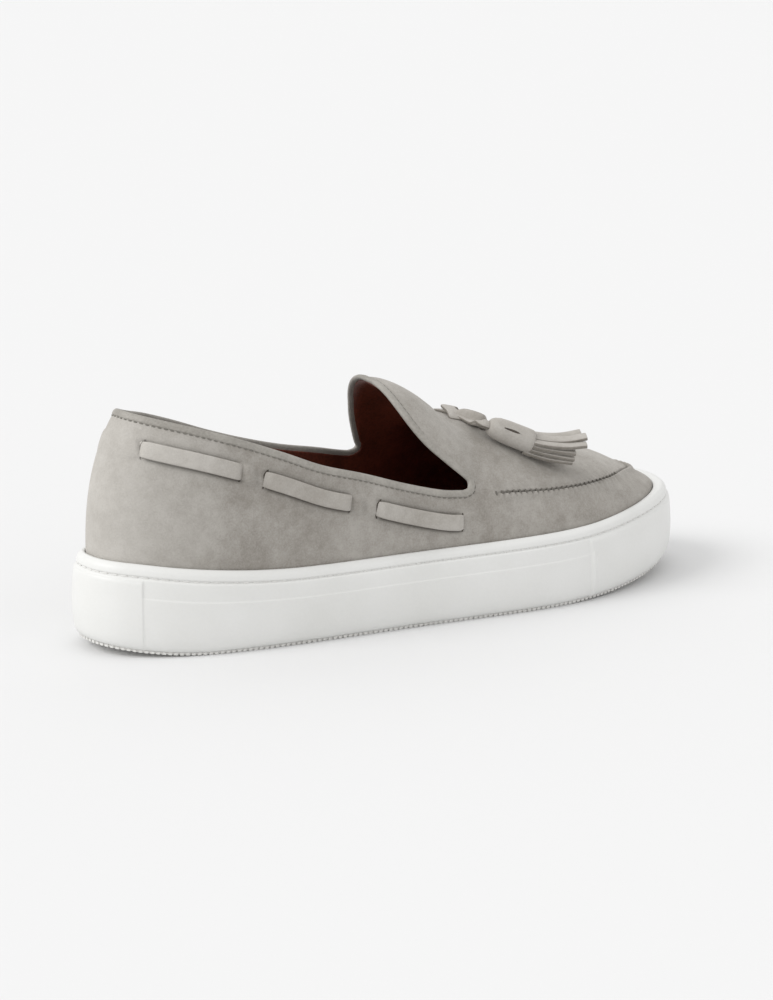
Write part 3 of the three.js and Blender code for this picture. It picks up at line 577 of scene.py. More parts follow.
def brushed_suede(name, dark, light, sheen=0.35):
    """Suede is leather sanded on the flesh side: a matt pile of short fibres, with faint patches
    where the pile lies another way, and a pale edge of light where the fibres stand up. The shade
    kept on the mesh is painted shade: it darkens the suede in folds, in the seam and round the lace
    straps and their slits."""
    material, tree = new_material(name)
    clouds = noise(tree, 24, 2.0)
    patches = noise(tree, 4.5, 4.0, 0.65)
    # fibres are about 0.2 mm apart, drawn at 0.8 mm so that they show
    fibres = noise(tree, 0.8, 4.0, 0.75)
    tone = sum_of(tree, (clouds, 0.36), (patches, 0.3), (fibres, 0.34))
    colour = two_tones(tree, remap(tree, tone, 0.4, 0.6), dark, light)
    # painted shade kept on the mesh darkens the suede towards a dark grey
    shade = add(tree, "ShaderNodeAttribute", attribute_name="shade").outputs["Fac"]
    mix = add(tree, "ShaderNodeMix", {"Factor": shade}, data_type="RGBA")
    tree.links.new(colour, mix.inputs[6])
    mix.inputs[7].default_value = linear("#4A4640")
    # painted light: the suede is painted paler towards the heel, where the key light from behind
    # falls on it
    where = add(tree, "ShaderNodeTexCoord").outputs["Object"]
    back = add(tree, "ShaderNodeSeparateXYZ", {"Vector": where}).outputs[0]
    heel_light = remap(tree, back, *PAINTED_HEEL_LIGHT, 0.0, 0.34)
    lit_heel = add(tree, "ShaderNodeMix", {"Factor": heel_light}, data_type="RGBA")
    tree.links.new(mix.outputs[2], lit_heel.inputs[6])
    lit_heel.inputs[7].default_value = linear("#DAD7D1")
    height = sum_of(tree, (fibres, 0.7), (patches, 0.3))
    surface = finish_surface(tree, lit_heel.outputs[2], height, 0.3, Roughness=0.95, IOR=1.45)
    surface.inputs["Specular IOR Level"].default_value = 0.15
    surface.inputs["Sheen Weight"].default_value = sheen
    surface.inputs["Sheen Roughness"].default_value = 0.45
    surface.inputs["Sheen Tint"].default_value = linear("#E8E5E0")
    return material


def smooth_leather(name, dark, light, roughness, grain_mm=0.9, depth_mm=0.12):
    """Grain leather, dyed and lightly polished: fine pebbles with darker valleys."""
    material, tree = new_material(name)
    where = add(tree, "ShaderNodeTexCoord").outputs["Object"]
    cells = add(tree, "ShaderNodeTexVoronoi", {
        "Vector": where, "Scale": 1 / (grain_mm * MM),
    }, feature="SMOOTH_F1").outputs["Distance"]
    clouds = noise(tree, 12, 3.0)
    colour = two_tones(tree, remap(tree, sum_of(tree, (clouds, 0.7), (cells, 0.3)), 0.3, 0.6),
                       dark, light)
    finish_surface(tree, colour, cells, depth_mm, Roughness=roughness, IOR=1.5)
    return material


def moulded_rubber(name, dark, light, roughness, grain_mm=1.4, depth_mm=0.03):
    """Moulded rubber: even colour with faint yellowing, and the fine etched skin of the mould."""
    material, tree = new_material(name)
    etched = noise(tree, grain_mm, 3.0, 0.6)
    clouds = noise(tree, 45, 2.0)
    colour = two_tones(tree, remap(tree, sum_of(tree, (clouds, 0.8), (etched, 0.2)), 0.35, 0.65),
                       dark, light)
    finish_surface(tree, colour, etched, depth_mm, Roughness=roughness, IOR=1.5)
    return material


def waxed_thread(name, dark, light):
    """Twisted thread: a fine slanted ply."""
    material, tree = new_material(name)
    ply = noise(tree, 0.5, 2.0, 0.5, stretch=(1, 1, 3))
    finish_surface(tree, two_tones(tree, ply, dark, light), ply, 0.1, Roughness=0.7, IOR=1.5)
    return material


suede = brushed_suede("light grey brushed suede", "#8F8A83", "#AAA6A0")
lace_suede = brushed_suede("light grey suede lace", "#A19C95", "#B5B1AB")
# Cut sides of the laces, fringes and knot: darker as raw suede edges are, and darker still as
# painted shade, for the dark lines where shade falls along the straps' edges.
lace_edge_and_painted_shade = brushed_suede("cut side of the suede lace, darker with painted shade", "#77726B", "#8E8982", 0.1)
# painted shade: a near-black suede for the dark openings of the slits
slit_shade = brushed_suede("painted shade in a slit", "#3F3A35", "#57514B", 0.0)
piping_leather = smooth_leather("grey kid leather piping", "#8B8780", "#A19D96", 0.55)
lining_leather = smooth_leather("dark brown lining leather", "#502416", "#703422", 0.55, 1.2)
footbed_leather = smooth_leather("dark brown footbed leather", "#35160E", "#4C2316", 0.6, 1.4)
white_rubber = moulded_rubber("white moulded rubber", "#DBDBD8", "#E2E2E0", 0.45)
tread_rubber = moulded_rubber("off-white tread rubber", "#D6D5D1", "#DDDCD9", 0.7, 0.8, 0.05)
white_thread = waxed_thread("white sole thread", "#D2D1CE", "#E6E5E2")
grey_thread = waxed_thread("grey collar thread", "#6E6B65", "#837F78")
dark_thread = waxed_thread("dark grey seam thread", "#57534D", "#6E6A63")


# ---- Camera, at the photograph's angle to the shoe
CAMERA_PLACE = (-507.1, -974.2, 314.3)
CAMERA_AIM = (150.0, 0.0, 44.0)
LENS = 100.0


def make_camera():
    data = bpy.data.cameras.new("camera")
    data.lens = LENS
    data.sensor_width = 36.0
    data.clip_start, data.clip_end = 0.05, 60.0
    camera = bpy.data.objects.new("camera", data)
    bpy.context.scene.collection.objects.link(camera)
    place, aim = (Vector(to_frame(spot).tolist()) for spot in (CAMERA_PLACE, CAMERA_AIM))
    camera.location = place
    camera.rotation_mode = "QUATERNION"
    camera.rotation_quaternion = (aim - place).to_track_quat("-Z", "Y")
    bpy.context.scene.camera = camera


make_camera()


# ---- Lace ends, knot and tassels on the vamp
def cap_frame(rows):
    centres, normals = over_vamp(rows)
    axis = unit(centres[1] - centres[0])
    across = unit(np.cross(normals.sum(0), axis))
    return centres[0], axis, across, np.cross(axis, across)


# Routes of the two lace ends, as places on the vamp: each leaves its slit, crosses the other in
# the knot and goes into the cap of its tassel
LATERAL_TIE = [
    (0.6, 0.105, 0.1), (0.605, 0.05, 0.4), (0.61, -0.02, 0.7), (0.614, -0.09, 0.9),
    (0.616, -0.145, 1.8),
]
MEDIAL_TIE = [
    (0.601, -0.085, 0.2), (0.606, -0.04, 1.6), (0.613, 0.01, 2.2), (0.632, 0.08, 2.8),
    (0.66, 0.16, 3.8),
]


def lace_tie(name, rows, cap_rows):
    centres, normals = over_vamp(rows)
    start, axis, _, up = cap_frame(cap_rows)
    ends = [start - axis * 3.2, start + axis * 1.5, start + axis * 9.0]
    route = smooth_path(np.concatenate([centres, ends]), 46)
    share = np.linspace(0, 1, len(route))
    first = unit(np.stack([
        np.interp(share * (len(rows) + 2), np.arange(len(rows)), normals[:, k]) for k in range(3)
    ], -1))
    blend = np.clip((share - 0.45) / 0.3, 0, 1)[:, None]
    # the near face leans outwards
    lean = np.array([-0.3, 0.5 * np.sign(rows[-1][1]), 0.0])
    across, ups = strap_frame(route, unit(first * (1 - blend) + (up + lean) * blend))
    # the tip is cut to a taper and rolled where it goes into the cap
    width = LACE_WIDTH * np.interp(share, [0, 0.35, 0.6, 1], [0.95, 0.9, 0.6, 0.52])
    thickness = LACE_THICKNESS * np.interp(share, [0, 0.5, 0.75, 1], [1, 1, 1.35, 1.35])
    strap = ribbon(route, across, ups, width, thickness) + (STRAP_CORNERS,)
    return joined_pieces(name, [strap], [lace_suede, lace_edge_and_painted_shade]), route


def tassel(name, cap_rows, seed, lively):
    start, axis, across, up = cap_frame(cap_rows)
    rng = np.random.default_rng(seed)
    radius = CAP_DIAMETER / 2
    parts = []
    # the cap is a rolled strip: its outer end laps over the roll and makes a low step
    around = 56  # corners of the cap
    stations = np.array([
        (0.0, 0.30), (0.0, 0.52), (0.03, 0.66), (0.09, 0.8), (0.2, 0.92), (0.4, 0.98),
        (0.7, 1.0), (0.93, 1.0), (0.985, 0.985), (1.0, 0.94), (0.995, 0.8), (0.97, 0.62),
    ])
    angle = 2 * np.pi * np.arange(around) / around
    lap = 0.45 * np.exp(-((np.mod(angle - 2.3, 2 * np.pi)) / 1.1))
    rings = []
    for along, share in stations:
        size = radius * share * (1 - 0.02 * np.cos(3 * angle)) + lap * share - 0.35
        rings.append(
            start + axis * along * CAP_LENGTH
            + across * (np.cos(angle) * size)[:, None] + up * (np.sin(angle) * size)[:, None]
        )
    rings = np.array(rings)
    faces = [tuple(f) for f in grid_faces(len(stations), around, wrap_columns=True)]
    faces.append(tuple(range(around - 1, -1, -1)))
    last = (len(stations) - 1) * around
    faces.append(tuple(range(last, last + around)))
    parts.append((rings.reshape(-1, 3), faces))
    # fringe in four layers: the upper strips curl up, the lower ones lie packed on the vamp
    foot = start + axis * (CAP_LENGTH - 1.6)
    for column, lift, count, reach_of in FRINGE_LAYERS:
        for k in range(count):
            spread = 2 * k / (count - 1) - 1
            shares = np.linspace(0, 1, 16)
            reach = shares * FRINGE_LENGTH * reach_of * (1 - 0.06 * rng.random())
            splay = look_up(FRINGE, shares, 1) * spread * 0.9
            curl = look_up(FRINGE, shares, column) + lift - 0.5 * spread**2
            if column == 2:
                curl = curl * lively * (1 - 0.12 * abs(spread)) * (0.9 + 0.12 * rng.random())
            wave = 0.3 * np.sin(shares * (2.5 + rng.random()) + rng.random() * 6) * shares
            centres = (
                foot + axis * reach[:, None] + across * splay[:, None]
                + up * (curl + wave)[:, None]
            )
            twist = (rng.random() - 0.5) * 0.4 * shares
            side = across * np.cos(twist)[:, None] + up * np.sin(twist)[:, None]
            side, ups = strap_frame(centres, np.cross(np.broadcast_to(axis, side.shape), side))
            width = (4.7 + 0.5 * rng.random()) * np.interp(shares, [0, 0.15, 1], [0.8, 1, 1])
            parts.append(ribbon(centres, side, ups, width, 2.0, corners=FRINGE_CORNERS,
                                flatness=0.35, cap_size=0.94) + (FRINGE_CORNERS,))
    return joined_pieces(name, parts, [lace_suede, lace_edge_and_painted_shade])


def cap_slit_shade(name, cap_rows, angle):
    """Painted shade of the short cut in the cap, where the rolled strip's end is tucked in."""
    start, axis, across, up = cap_frame(cap_rows)
    shares = np.linspace(0.25, 0.69, 12)
    radius = CAP_DIAMETER / 2 - 0.28
    out = across * np.cos(angle) + up * np.sin(angle)
    centres = start + axis * (shares * CAP_LENGTH)[:, None] + out * radius
    side, ups = strap_frame(centres, np.broadcast_to(out, centres.shape))
    width = 1.0 * np.sin(np.pi * np.linspace(0.06, 0.94, 12)) + 0.15
    return joined_pieces(name, [ribbon(centres, side, ups, width, 0.5, corners=8)], [slit_shade])


lateral_tie, lateral_route = lace_tie("lace_end_lateral", LATERAL_TIE, LATERAL_CAP)
medial_tie, medial_route = lace_tie("lace_end_medial", MEDIAL_TIE, MEDIAL_CAP)
lateral_tassel = tassel("tassel_suede_lateral", LATERAL_CAP, 11, 1.0)
medial_tassel = tassel("tassel_suede_medial", MEDIAL_CAP, 29, 0.55)
lateral_slit_shade = cap_slit_shade("tassel_cap_slit_shade_lateral", LATERAL_CAP, 2.4)
medial_slit_shade = cap_slit_shade("tassel_cap_slit_shade_medial", MEDIAL_CAP, 0.9)

# The wrap of the knot: a turn of lace that stands on edge, runs forward and folds back under
KNOT_WRAP = [
    (0.605, -0.048, -0.8), (0.608, -0.062, 1.0), (0.614, -0.088, 2.2), (0.622, -0.118, 2.9),
    (0.631, -0.136, 3.0), (0.64, -0.125, 2.6), (0.643, -0.095, 1.8),
]


def knot_wrap():
    centres, _ = over_vamp(KNOT_WRAP)
    route = smooth_path(centres, 40)
    tangent = unit(np.gradient(route, axis=0))
    facing = unit(np.cross(tangent, [0.0, 0.0, 1.0]) + np.array([0, 0, 0.3]))
    across, ups = strap_frame(route, facing)
    shares = np.linspace(0, 1, 40)
    width = LACE_WIDTH * np.interp(shares, [0, 0.25, 0.8, 1], [0.5, 0.85, 0.92, 0.7])
    strap = ribbon(route, across, ups, width, 1.7) + (STRAP_CORNERS,)
    return joined_pieces("lace_knot_wrap", [strap], [lace_suede, lace_edge_and_painted_shade])


wrap = knot_wrap()


for piece, route, parts, node in (
    (lateral_tie, lateral_route, [lateral_tassel, lateral_slit_shade], "tassel_lateral"),
    (medial_tie, medial_route, [medial_tassel, medial_slit_shade, wrap], "tassel_medial"),
):
    for part in [piece] + parts:
        fit(part, node if part is parts[0] else None)
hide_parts("lace_knot")


# ---- Upper
Section = namedtuple("Section", "foot_t top_t top_turn is_open")


def t_of_along(along):
    return bisect(lambda t: section_along(t) < along, 0.0, 1.0)


def spine_curve(rows, count):
    """Points at even steps along a curve through side-view rows."""
    rows = np.array(rows, float)
    spans = len(rows) - 1
    s = np.linspace(0, spans, 200 * spans + 1)
    i = np.minimum(s.astype(int), spans - 1)
    f = (s - i)[:, None]
    p0, p1 = rows[np.maximum(i - 1, 0)], rows[i]
    p2, p3 = rows[i + 1], rows[np.minimum(i + 2, spans)]
    v0, v1 = (p2 - p0) / 2, (p3 - p1) / 2
    curve = (
        (2 * p1 - 2 * p2 + v0 + v1) * f**3 + (-3 * p1 + 3 * p2 - 2 * v0 - v1) * f**2 + v0 * f + p1
    )
    length = path_length(curve)
    even = np.linspace(0, length[-1], count + 1)
    return np.stack([np.interp(even, length, curve[:, k]) for k in (0, 1)], -1)


def sections(side, quarter, tongue, vamp):
    """Foot and top of each section of one side, and whether it ends at the opening."""
    column = 1 if side == LATERAL else 2
    corner_x = TONGUE[0][column] * SOLE_LENGTH
    corner_t = float(find_on_last(side, corner_x, collar_height(side, corner_x))[0])
    t = np.linspace(0, corner_t, quarter + 1)

    def under_collar(turn):
        p = last_point(side, t, turn)
        return p[..., 2] < collar_height(side, p[..., 0])

    turn = bisect(under_collar, np.zeros(t.shape), np.full(t.shape, QUARTER_TURN))
    low = CORNER[side]
    side_view = [
        (row[column] * SOLE_LENGTH, low + (TONGUE_HEIGHT - low) * row[0]) for row in TONGUE
    ]
    edge = spine_curve(side_view, tongue)[1:-1]
    edge_t, edge_turn = find_on_last(side, edge[:, 0], edge[:, 1])
    tongue_foot = float(t_of_along(TONGUE_FOOT))
    apex_t = float(bisect(
        lambda v: last_point(LATERAL, v, QUARTER_TURN)[..., 0] < APEX * SOLE_LENGTH, 0.0, 1.0
    ))
    spread = (np.arange(1, tongue) / tongue) ** FOOT_SPREAD
    edge_foot = corner_t + (tongue_foot - corner_t) * spread
    share = np.linspace(0, 1, vamp + 1)
    foot_t = np.concatenate([t, edge_foot, tongue_foot + (1 - tongue_foot) * share])
    top_t = np.concatenate([t, edge_t, apex_t + (1 - apex_t) * share])
    top_turn = np.concatenate([turn, edge_turn, np.full(vamp + 1, QUARTER_TURN)])
    is_open = np.arange(len(foot_t)) <= quarter + tongue
    return Section(foot_t, top_t, top_turn, is_open)


def place_on(section, share):
    """Places on the last at shares of each section, from its foot to its top."""
    shift = (section.top_t - section.foot_t)[:, None] * share**SECTION_BEND
    return section.foot_t[:, None] + shift, section.top_turn[:, None] * share


def seam_share(section):
    """Share of each section at which the apron seam crosses it."""
    def under(share):
        t, turn = place_on(section, share[:, None])
        return (turn - QUARTER_TURN * look_up(SEAM_TURN, section_along(t)))[:, 0] < 0

    count = len(section.foot_t)
    return np.minimum(bisect(under, np.zeros(count), np.ones(count)), 0.7)


def lace_share(section, side):
    """Share of each section at which the line of the collar lace crosses it."""
    def under(share):
        t, turn = place_on(section, share[:, None])
        place = last_point(side, t, turn)
        return (place[..., 2] < collar_height(side, place[..., 0]) - LACE_DROP)[:, 0]

    count = len(section.foot_t)
    return bisect(under, np.zeros(count), np.ones(count))


NEAR_SEAM = np.array([  # rows beside the seam or the lace's line, in millimetres
    -7.5, -6.2, -5.2, -4.4, -3.8, -3.2, -2.6, -2.0, -1.5, -1.05, -0.7, -0.4, -0.15, 0.1, 0.35,
    0.65, 1.0, 1.5, 2.1, 2.8, 3.4, 3.9, 4.4, 5.0, 6.0,
])


def section_rows(section, side, quarter, below, above):
    """Shares of each section at which it has points, packed round the collar lace at the back
    and round the apron seam in front."""
    seam, lace = seam_share(section), lace_share(section, side)
    lace[quarter:] = lace[quarter - 1]
    ahead = fade(section_along(section.foot_t), 0.54, 0.6)
    middle = lace + (seam - lace) * ahead
    fine = np.linspace(0, 1, 60)[None, :] * np.ones((len(seam), 1))
    t, turn = place_on(section, fine)
    line = last_point(side, t, turn)
    steps = np.linalg.norm(np.diff(line, axis=1), axis=2)
    length = np.concatenate([np.zeros((len(seam), 1)), np.cumsum(steps, axis=1)], axis=1)
    rows = []
    for k in range(len(seam)):
        centre = np.interp(middle[k], fine[k], length[k])
        total = length[k, -1]
        shrink = min(1.0, 0.8 * centre / 7.5, 0.8 * (total - centre) / 6)
        near = centre + NEAR_SEAM * shrink
        first = np.linspace(0, near[0], below + 1)[:-1]
        rest = np.linspace(near[-1], total, above + 1)[1:]
        rows.append(np.interp(np.concatenate([first, near, rest]), length[k], fine[k]))
    rows = np.array(rows)
    rows[:, 0], rows[:, -1] = 0, 1
    return rows


def seam_line(side, count=700):
    """Points, normals and places along of the apron seam of one side, from its start to the toe."""
    t = np.linspace(float(t_of_along(SEAM_START)), 1, count)
    along = section_along(t)
    turn = QUARTER_TURN * look_up(SEAM_TURN, along)
    return last_point(side, t, turn), last_normal(side, t, turn), along


def from_seam(side, place, t, turn):
    """Distance over (+) or under (-) the seam, and the length along it counted from the toe."""
    line, _, _ = seam_line(side)
    arc = path_length(line)
    distance, at = np.zeros(t.shape), np.zeros(t.shape)
    for k in range(len(t)):
        gaps = np.linalg.norm(place[k][:, None] - line[None], axis=2)
        nearest = gaps.argmin(1)
        distance[k], at[k] = gaps[np.arange(len(nearest)), nearest], arc[-1] - arc[nearest]
    higher = turn > QUARTER_TURN * look_up(SEAM_TURN, section_along(t))
    return np.where(higher, distance, -distance), at


# Soft troughs (under 0) and ridges (over 0) of the suede, in millimetres: x, height over the
# floor, side, size along, size up and down, slant in radians, depth
CREASES = [
    (176.0, 52.0, LATERAL, 4.0, 14.0, 0.25, 0.35),
    (188.0, 43.0, LATERAL, 9.0, 6.0, 0.0, -0.6),
    (168.0, 44.0, LATERAL, 6.0, 5.0, 0.0, -0.3),
    (120.0, 47.0, LATERAL, 26.0, 7.0, 0.1, -0.4),
    (72.0, 52.0, LATERAL, 20.0, 9.0, -0.2, 0.35),
    (38.0, 60.0, LATERAL, 9.0, 16.0, 0.3, -0.4),
    (225.0, 41.0, LATERAL, 16.0, 4.0, 0.0, -0.3),
    (168.0, 74.0, LATERAL, 5.0, 14.0, -0.5, 0.3),
    (176.0, 52.0, MEDIAL, 4.0, 14.0, 0.25, 0.35),
    (186.0, 45.0, MEDIAL, 9.0, 6.0, 0.0, -0.6),
    (112.0, 50.0, MEDIAL, 24.0, 8.0, 0.1, -0.4),
    (60.0, 56.0, MEDIAL, 18.0, 10.0, -0.2, 0.35),
    (222.0, 42.0, MEDIAL, 16.0, 4.0, 0.0, -0.3),
]


def suede_relief(side, place, along, distance, arc):
    """Height of the suede over the last, and how much painted shade darkens it: apron seam with its
    puckers, lace tunnels and creases. The painted shade lies in the seam's valleys and round the
    lace straps."""
    strength = look_up(SEAM_RELIEF, along) * (along > 0.56)
    pleats = 1 - 0.75 * fade(along, 0.84, 0.88)
    pucker = (0.5 - 0.5 * np.cos(2 * np.pi * arc / PUCKER)) * pleats
    fold = gauss(np.minimum(distance + 1.0, 0), 1.9) * (1 - fade(distance, -0.7, 0.25))
    relief = strength * SEAM_HEIGHT * fold * (1 - 0.6 * pucker * gauss(distance + 0.6, 1.5))
    relief -= strength * 0.45 * gauss(distance - 0.3, 0.5)
    relief -= strength * 0.22 * pucker * gauss(distance + 2.6, 2.2)
    relief -= strength * 0.38 * pucker * gauss(distance - 1.9, 1.9)
    # painted shade in the seam's valley, and more in the valleys of the puckers
    shade = strength * gauss(distance - 0.3, 0.55) * (0.5 + 0.35 * pucker)
    shade += strength * 0.3 * pucker * gauss(distance + 0.6, 1.0)
    x, z = place[..., 0], place[..., 2]
    # a line of lace under the suede between its slits, highest where it dives in
    drop = z - (collar_height(side, x) - LACE_DROP)
    profile = np.clip(1 - (drop / (LACE_WIDTH * 0.6)) ** 4, 0, 1)
    for k, (low, high) in enumerate(LACE_BARS):
        low, high = low * SOLE_LENGTH, high * SOLE_LENGTH
        beyond, before = x - high, low - x
        rise = 0.6 if k == 2 else 2.6
        relief += rise * profile * fade(beyond, 0.2, 1.8) * gauss(np.maximum(beyond - 2.8, 0), 2.4)
        relief += 0.5 * profile * fade(before, 0.6, 2.0) * gauss(np.maximum(before - 2.2, 0), 3.4)
        inside = fade(x, low - 0.8, low + 0.8) * (1 - fade(x, high - 0.8, high + 0.8))
        half = LACE_WIDTH / 2
        relief -= 0.35 * inside * (1 - fade(np.abs(drop), half - 0.4, half + 1.6))
        # painted shadow under the strap's lower edge, and painted shade along its upper edge
        below, above = gauss(drop + half + 0.25, 0.75), gauss(drop - half - 0.1, 0.5)
        shade += inside * (0.75 * below + 0.5 * above)
        relief -= 0.3 * gauss(x - low + 0.6, 0.9) * profile
        # painted shade at the strap's two slits
        shade += 0.35 * profile * (gauss(x - low + 0.8, 0.9) + gauss(x - high - 0.6, 0.8))
        if k < 2:
            # painted shade along the far edge of the bump past the strap
            shade += 0.22 * profile * gauss(beyond - 6.6, 1.1)
    last = LACE_BARS[-1][1] * SOLE_LENGTH
    relief += 0.25 * profile * (1 - fade(x, last + 1, last + 6))
    for cx, cz, which, size_x, size_z, slant, depth in CREASES:
        if which != side:
            continue
        dx, dz = x - cx, z - cz
        a = dx * np.cos(slant) + dz * np.sin(slant)
        b = -dx * np.sin(slant) + dz * np.cos(slant)
        relief += depth * np.exp(-((a / size_x) ** 2) - (b / size_z) ** 2)
    return relief, np.clip(shade, 0, 1)


def shell(name, quarter, tongue, vamp, rows_below, rows_above, outer_at, inner_at, inner_step,
          materials, dressed):
    """A closed shell over the last between two depths under its surface. dressed adds the
    suede's relief on the outside, and the painted shade kept on its points."""
    points, faces, shades, start = [], [], [], 0
    for side in (LATERAL, MEDIAL):
        section = sections(side, quarter, tongue, vamp)
        shares = section_rows(section, side, quarter, rows_below, rows_above)
        t, turn = place_on(section, shares)
        place, normal = last_point(side, t, turn), last_normal(side, t, turn)
        along = section_along(t)
        outer = place - normal * outer_at
        # painted shade of the outer points, none unless dressed
        dark = np.zeros(t.shape)
        if dressed:
            distance, arc = from_seam(side, place, t, turn)
            relief, dark = suede_relief(side, place, along, distance, arc)
            # flat at the topline, and along the vamp's centre line, which both sides share
            to_top = np.linalg.norm(place - place[:, -1:], axis=2)
            relief = relief * np.where(section.is_open[:, None], fade(to_top, 0.0, 2.0), 1.0)
            relief = relief * np.where(turn > ON_RIDGE, 0.0, 1.0)
            outer = outer + normal * relief[..., None]
        kept = np.unique(np.concatenate([np.arange(0, shares.shape[1], inner_step),
                                         [shares.shape[1] - 1]]))
        inner = (place - normal * inner_at)[:, kept]
        u = around_of(side, section.foot_t)
        floor = rim_height(outline(u, upper_inset(u))[:, 0]) - CUP_DEPTH + GAP
        feet = []
        for depth in (outer_at, inner_at):
            plan = outline(u, upper_inset(u) + depth)
            feet.append(np.concatenate([plan, floor[:, None]], axis=1))
        rings = np.concatenate(
            [feet[0][:, None], outer, inner[:, ::-1], feet[1][:, None]], axis=1
        )
        count, width = rings.shape[:2]
        quads = grid_faces(count, width, wrap_columns=True).reshape(count - 1, width, 4)
        across_top = outer.shape[1]
        whole = np.ones((count - 1, width), bool)
        # the wall has an edge only round the opening
        whole[:, across_top] = section.is_open[:-1] & section.is_open[1:]
        quads = quads[whole]
        if side == MEDIAL:
            quads = quads[:, ::-1]
        ring_shade = np.zeros((count, width))
        ring_shade[:, 1:1 + across_top] = dark
        points.append(rings.reshape(-1, 3))
        shades.append(ring_shade.ravel())
        faces.append(quads + start)
        start += count * width
    made = mesh_object(name, np.concatenate(points), np.concatenate(faces), materials,
                       shade=np.concatenate(shades))
    return closed_body(made)


upper = shell("suede_upper", 150, 60, 150, 14, 26, 0.0, SUEDE, 3, [suede], True)
fit(upper, "upper")

lining = shell("leather_lining", 30, 30, 30, 4, 12, SUEDE + 0.3, UPPER_WALL, 1,
               [lining_leather], False)
fit(lining)


# ---- Collar piping
EDGE_STEPS = (90, 60)  # places along the collar and along the tongue's edge, on each side


def top_loop(quarter, tongue):
    """The upper's top edge round the whole opening: points and normals."""
    points, normals = [], []
    for side in (LATERAL, MEDIAL):
        section = sections(side, quarter, tongue, 1)
        t, turn = section.top_t[section.is_open], section.top_turn[section.is_open]
        points.append(last_point(side, t, turn))
        normals.append(last_normal(side, t, turn))
    loop = np.concatenate([points[0], points[1][1:-1][::-1]])
    normal = np.concatenate([normals[0], normals[1][1:-1][::-1]])
    return loop, normal


def collar_piping():
    loop, normal = top_loop(*EDGE_STEPS)
    tangent = unit(np.roll(loop, -1, axis=0) - np.roll(loop, 1, axis=0))
    out = unit(np.cross(normal, tangent))
    seat = loop - normal * UPPER_WALL / 2
    profile = np.array(PIPING)
    rings = (
        seat[:, None] + normal[:, None] * profile[None, :, :1] + out[:, None] * profile[None, :, 1:]
    )
    count, width = rings.shape[:2]
    faces = grid_faces(count, width, wrap_rows=True, wrap_columns=True)
    made = mesh_object("collar_piping", rings.reshape(-1, 3), faces, [piping_leather])
    return closed_body(made)


piping = collar_piping()
fit(piping, "collar_binding")


# ---- Collar lace
def lace_bar(name, side, low, high):
    low, high = low * SOLE_LENGTH, high * SOLE_LENGTH
    x = np.linspace(low - 1.6, high + 1.6, 40)
    t, turn = find_on_last(side, x, collar_height(side, x) - LACE_DROP)
    place, normal = last_point(side, t, turn), last_normal(side, t, turn)
    end = np.minimum(x - x[0], x[-1] - x)
    # a slack strap stands off the suede a little in the middle
    bow = 0.25 * np.sin(np.pi * (x - low) / (high - low)).clip(0) + 0.1 * np.sin(x * 0.7)
    lift = -0.9 + (0.9 + 0.3 + LACE_THICKNESS / 2 + bow) * fade(end, 0, 3.0)
    centres = place + normal * lift[:, None]
    across, up = strap_frame(centres, normal)
    width = LACE_WIDTH * (0.9 + 0.1 * fade(end, 0, 4))
    strap = ribbon(centres, across, up, width, LACE_THICKNESS, flatness=0.35) + (STRAP_CORNERS,)
    return joined_pieces(name, [strap], [lace_suede, lace_edge_and_painted_shade])


def slit_shadow(side, x, reach, bend):
    """A slit cut across the lace's line, drawn as a thin dark arc of painted shade seated on the
    suede.
    """
    t, turn = find_on_last(side, x, collar_height(side, x) - LACE_DROP)
    ahead = find_on_last(side, x + 1, collar_height(side, x + 1) - LACE_DROP)
    place, normal = last_point(side, t, turn), last_normal(side, t, turn)
    tangent = unit(last_point(side, *ahead) - place)
    across = unit(np.cross(normal, tangent))
    shares = np.linspace(-1, 1, 14)
    centres = place + across * (shares * reach)[:, None] + normal * 0.02
    bulge = (1 - shares**2)[:, None] * tangent * bend
    side_dir, up = strap_frame(centres + bulge, np.broadcast_to(normal, centres.shape))
    width = 1.4 * np.sqrt(np.clip(1 - shares**2, 0.03, 1))
    return ribbon(centres + bulge, side_dir, up, width, 0.5, corners=8)


# painted shade of the slits at both ends of each strap
slit_shade_pieces = []
for side, word in ((LATERAL, "lateral"), (MEDIAL, "medial")):
    for k, (low, high) in enumerate(LACE_BARS, 1):
        bar = lace_bar(f"lace_strap_{word}_{k}", side, low, high)
        fit(bar, f"lace_bar_{word}_{k}")
        slit_shade_pieces.append(slit_shadow(side, low * SOLE_LENGTH - 0.2, LACE_WIDTH * 0.58, -1.1))
        slit_shade_pieces.append(slit_shadow(side, high * SOLE_LENGTH + 0.4, LACE_WIDTH * 0.56, 0.5))
lace_slit_shadows = joined_pieces("lace_slit_shadows", slit_shade_pieces, [slit_shade])
fit(lace_slit_shadows)


# ---- Cup sole, tread and footbed
def sole_places(count):
    """Places round the outline at even steps of length, with close ones at the panel's ends."""
    u = np.linspace(0, TURNS, 4000)
    line = outline(u)
    length = path_length(line)
    even = np.linspace(0, length[-1], count, endpoint=False)
    extra = []
    for along in PANEL:
        crossings = np.where(np.diff(np.sign(line[:, 0] - along * SOLE_LENGTH)) != 0)[0]
        for c in crossings:
            extra += list(length[c] + np.linspace(-3.6, 3.6, 25))
    every = np.unique(np.round(np.concatenate([even, extra]), 3))
    return np.interp(every, length, u)


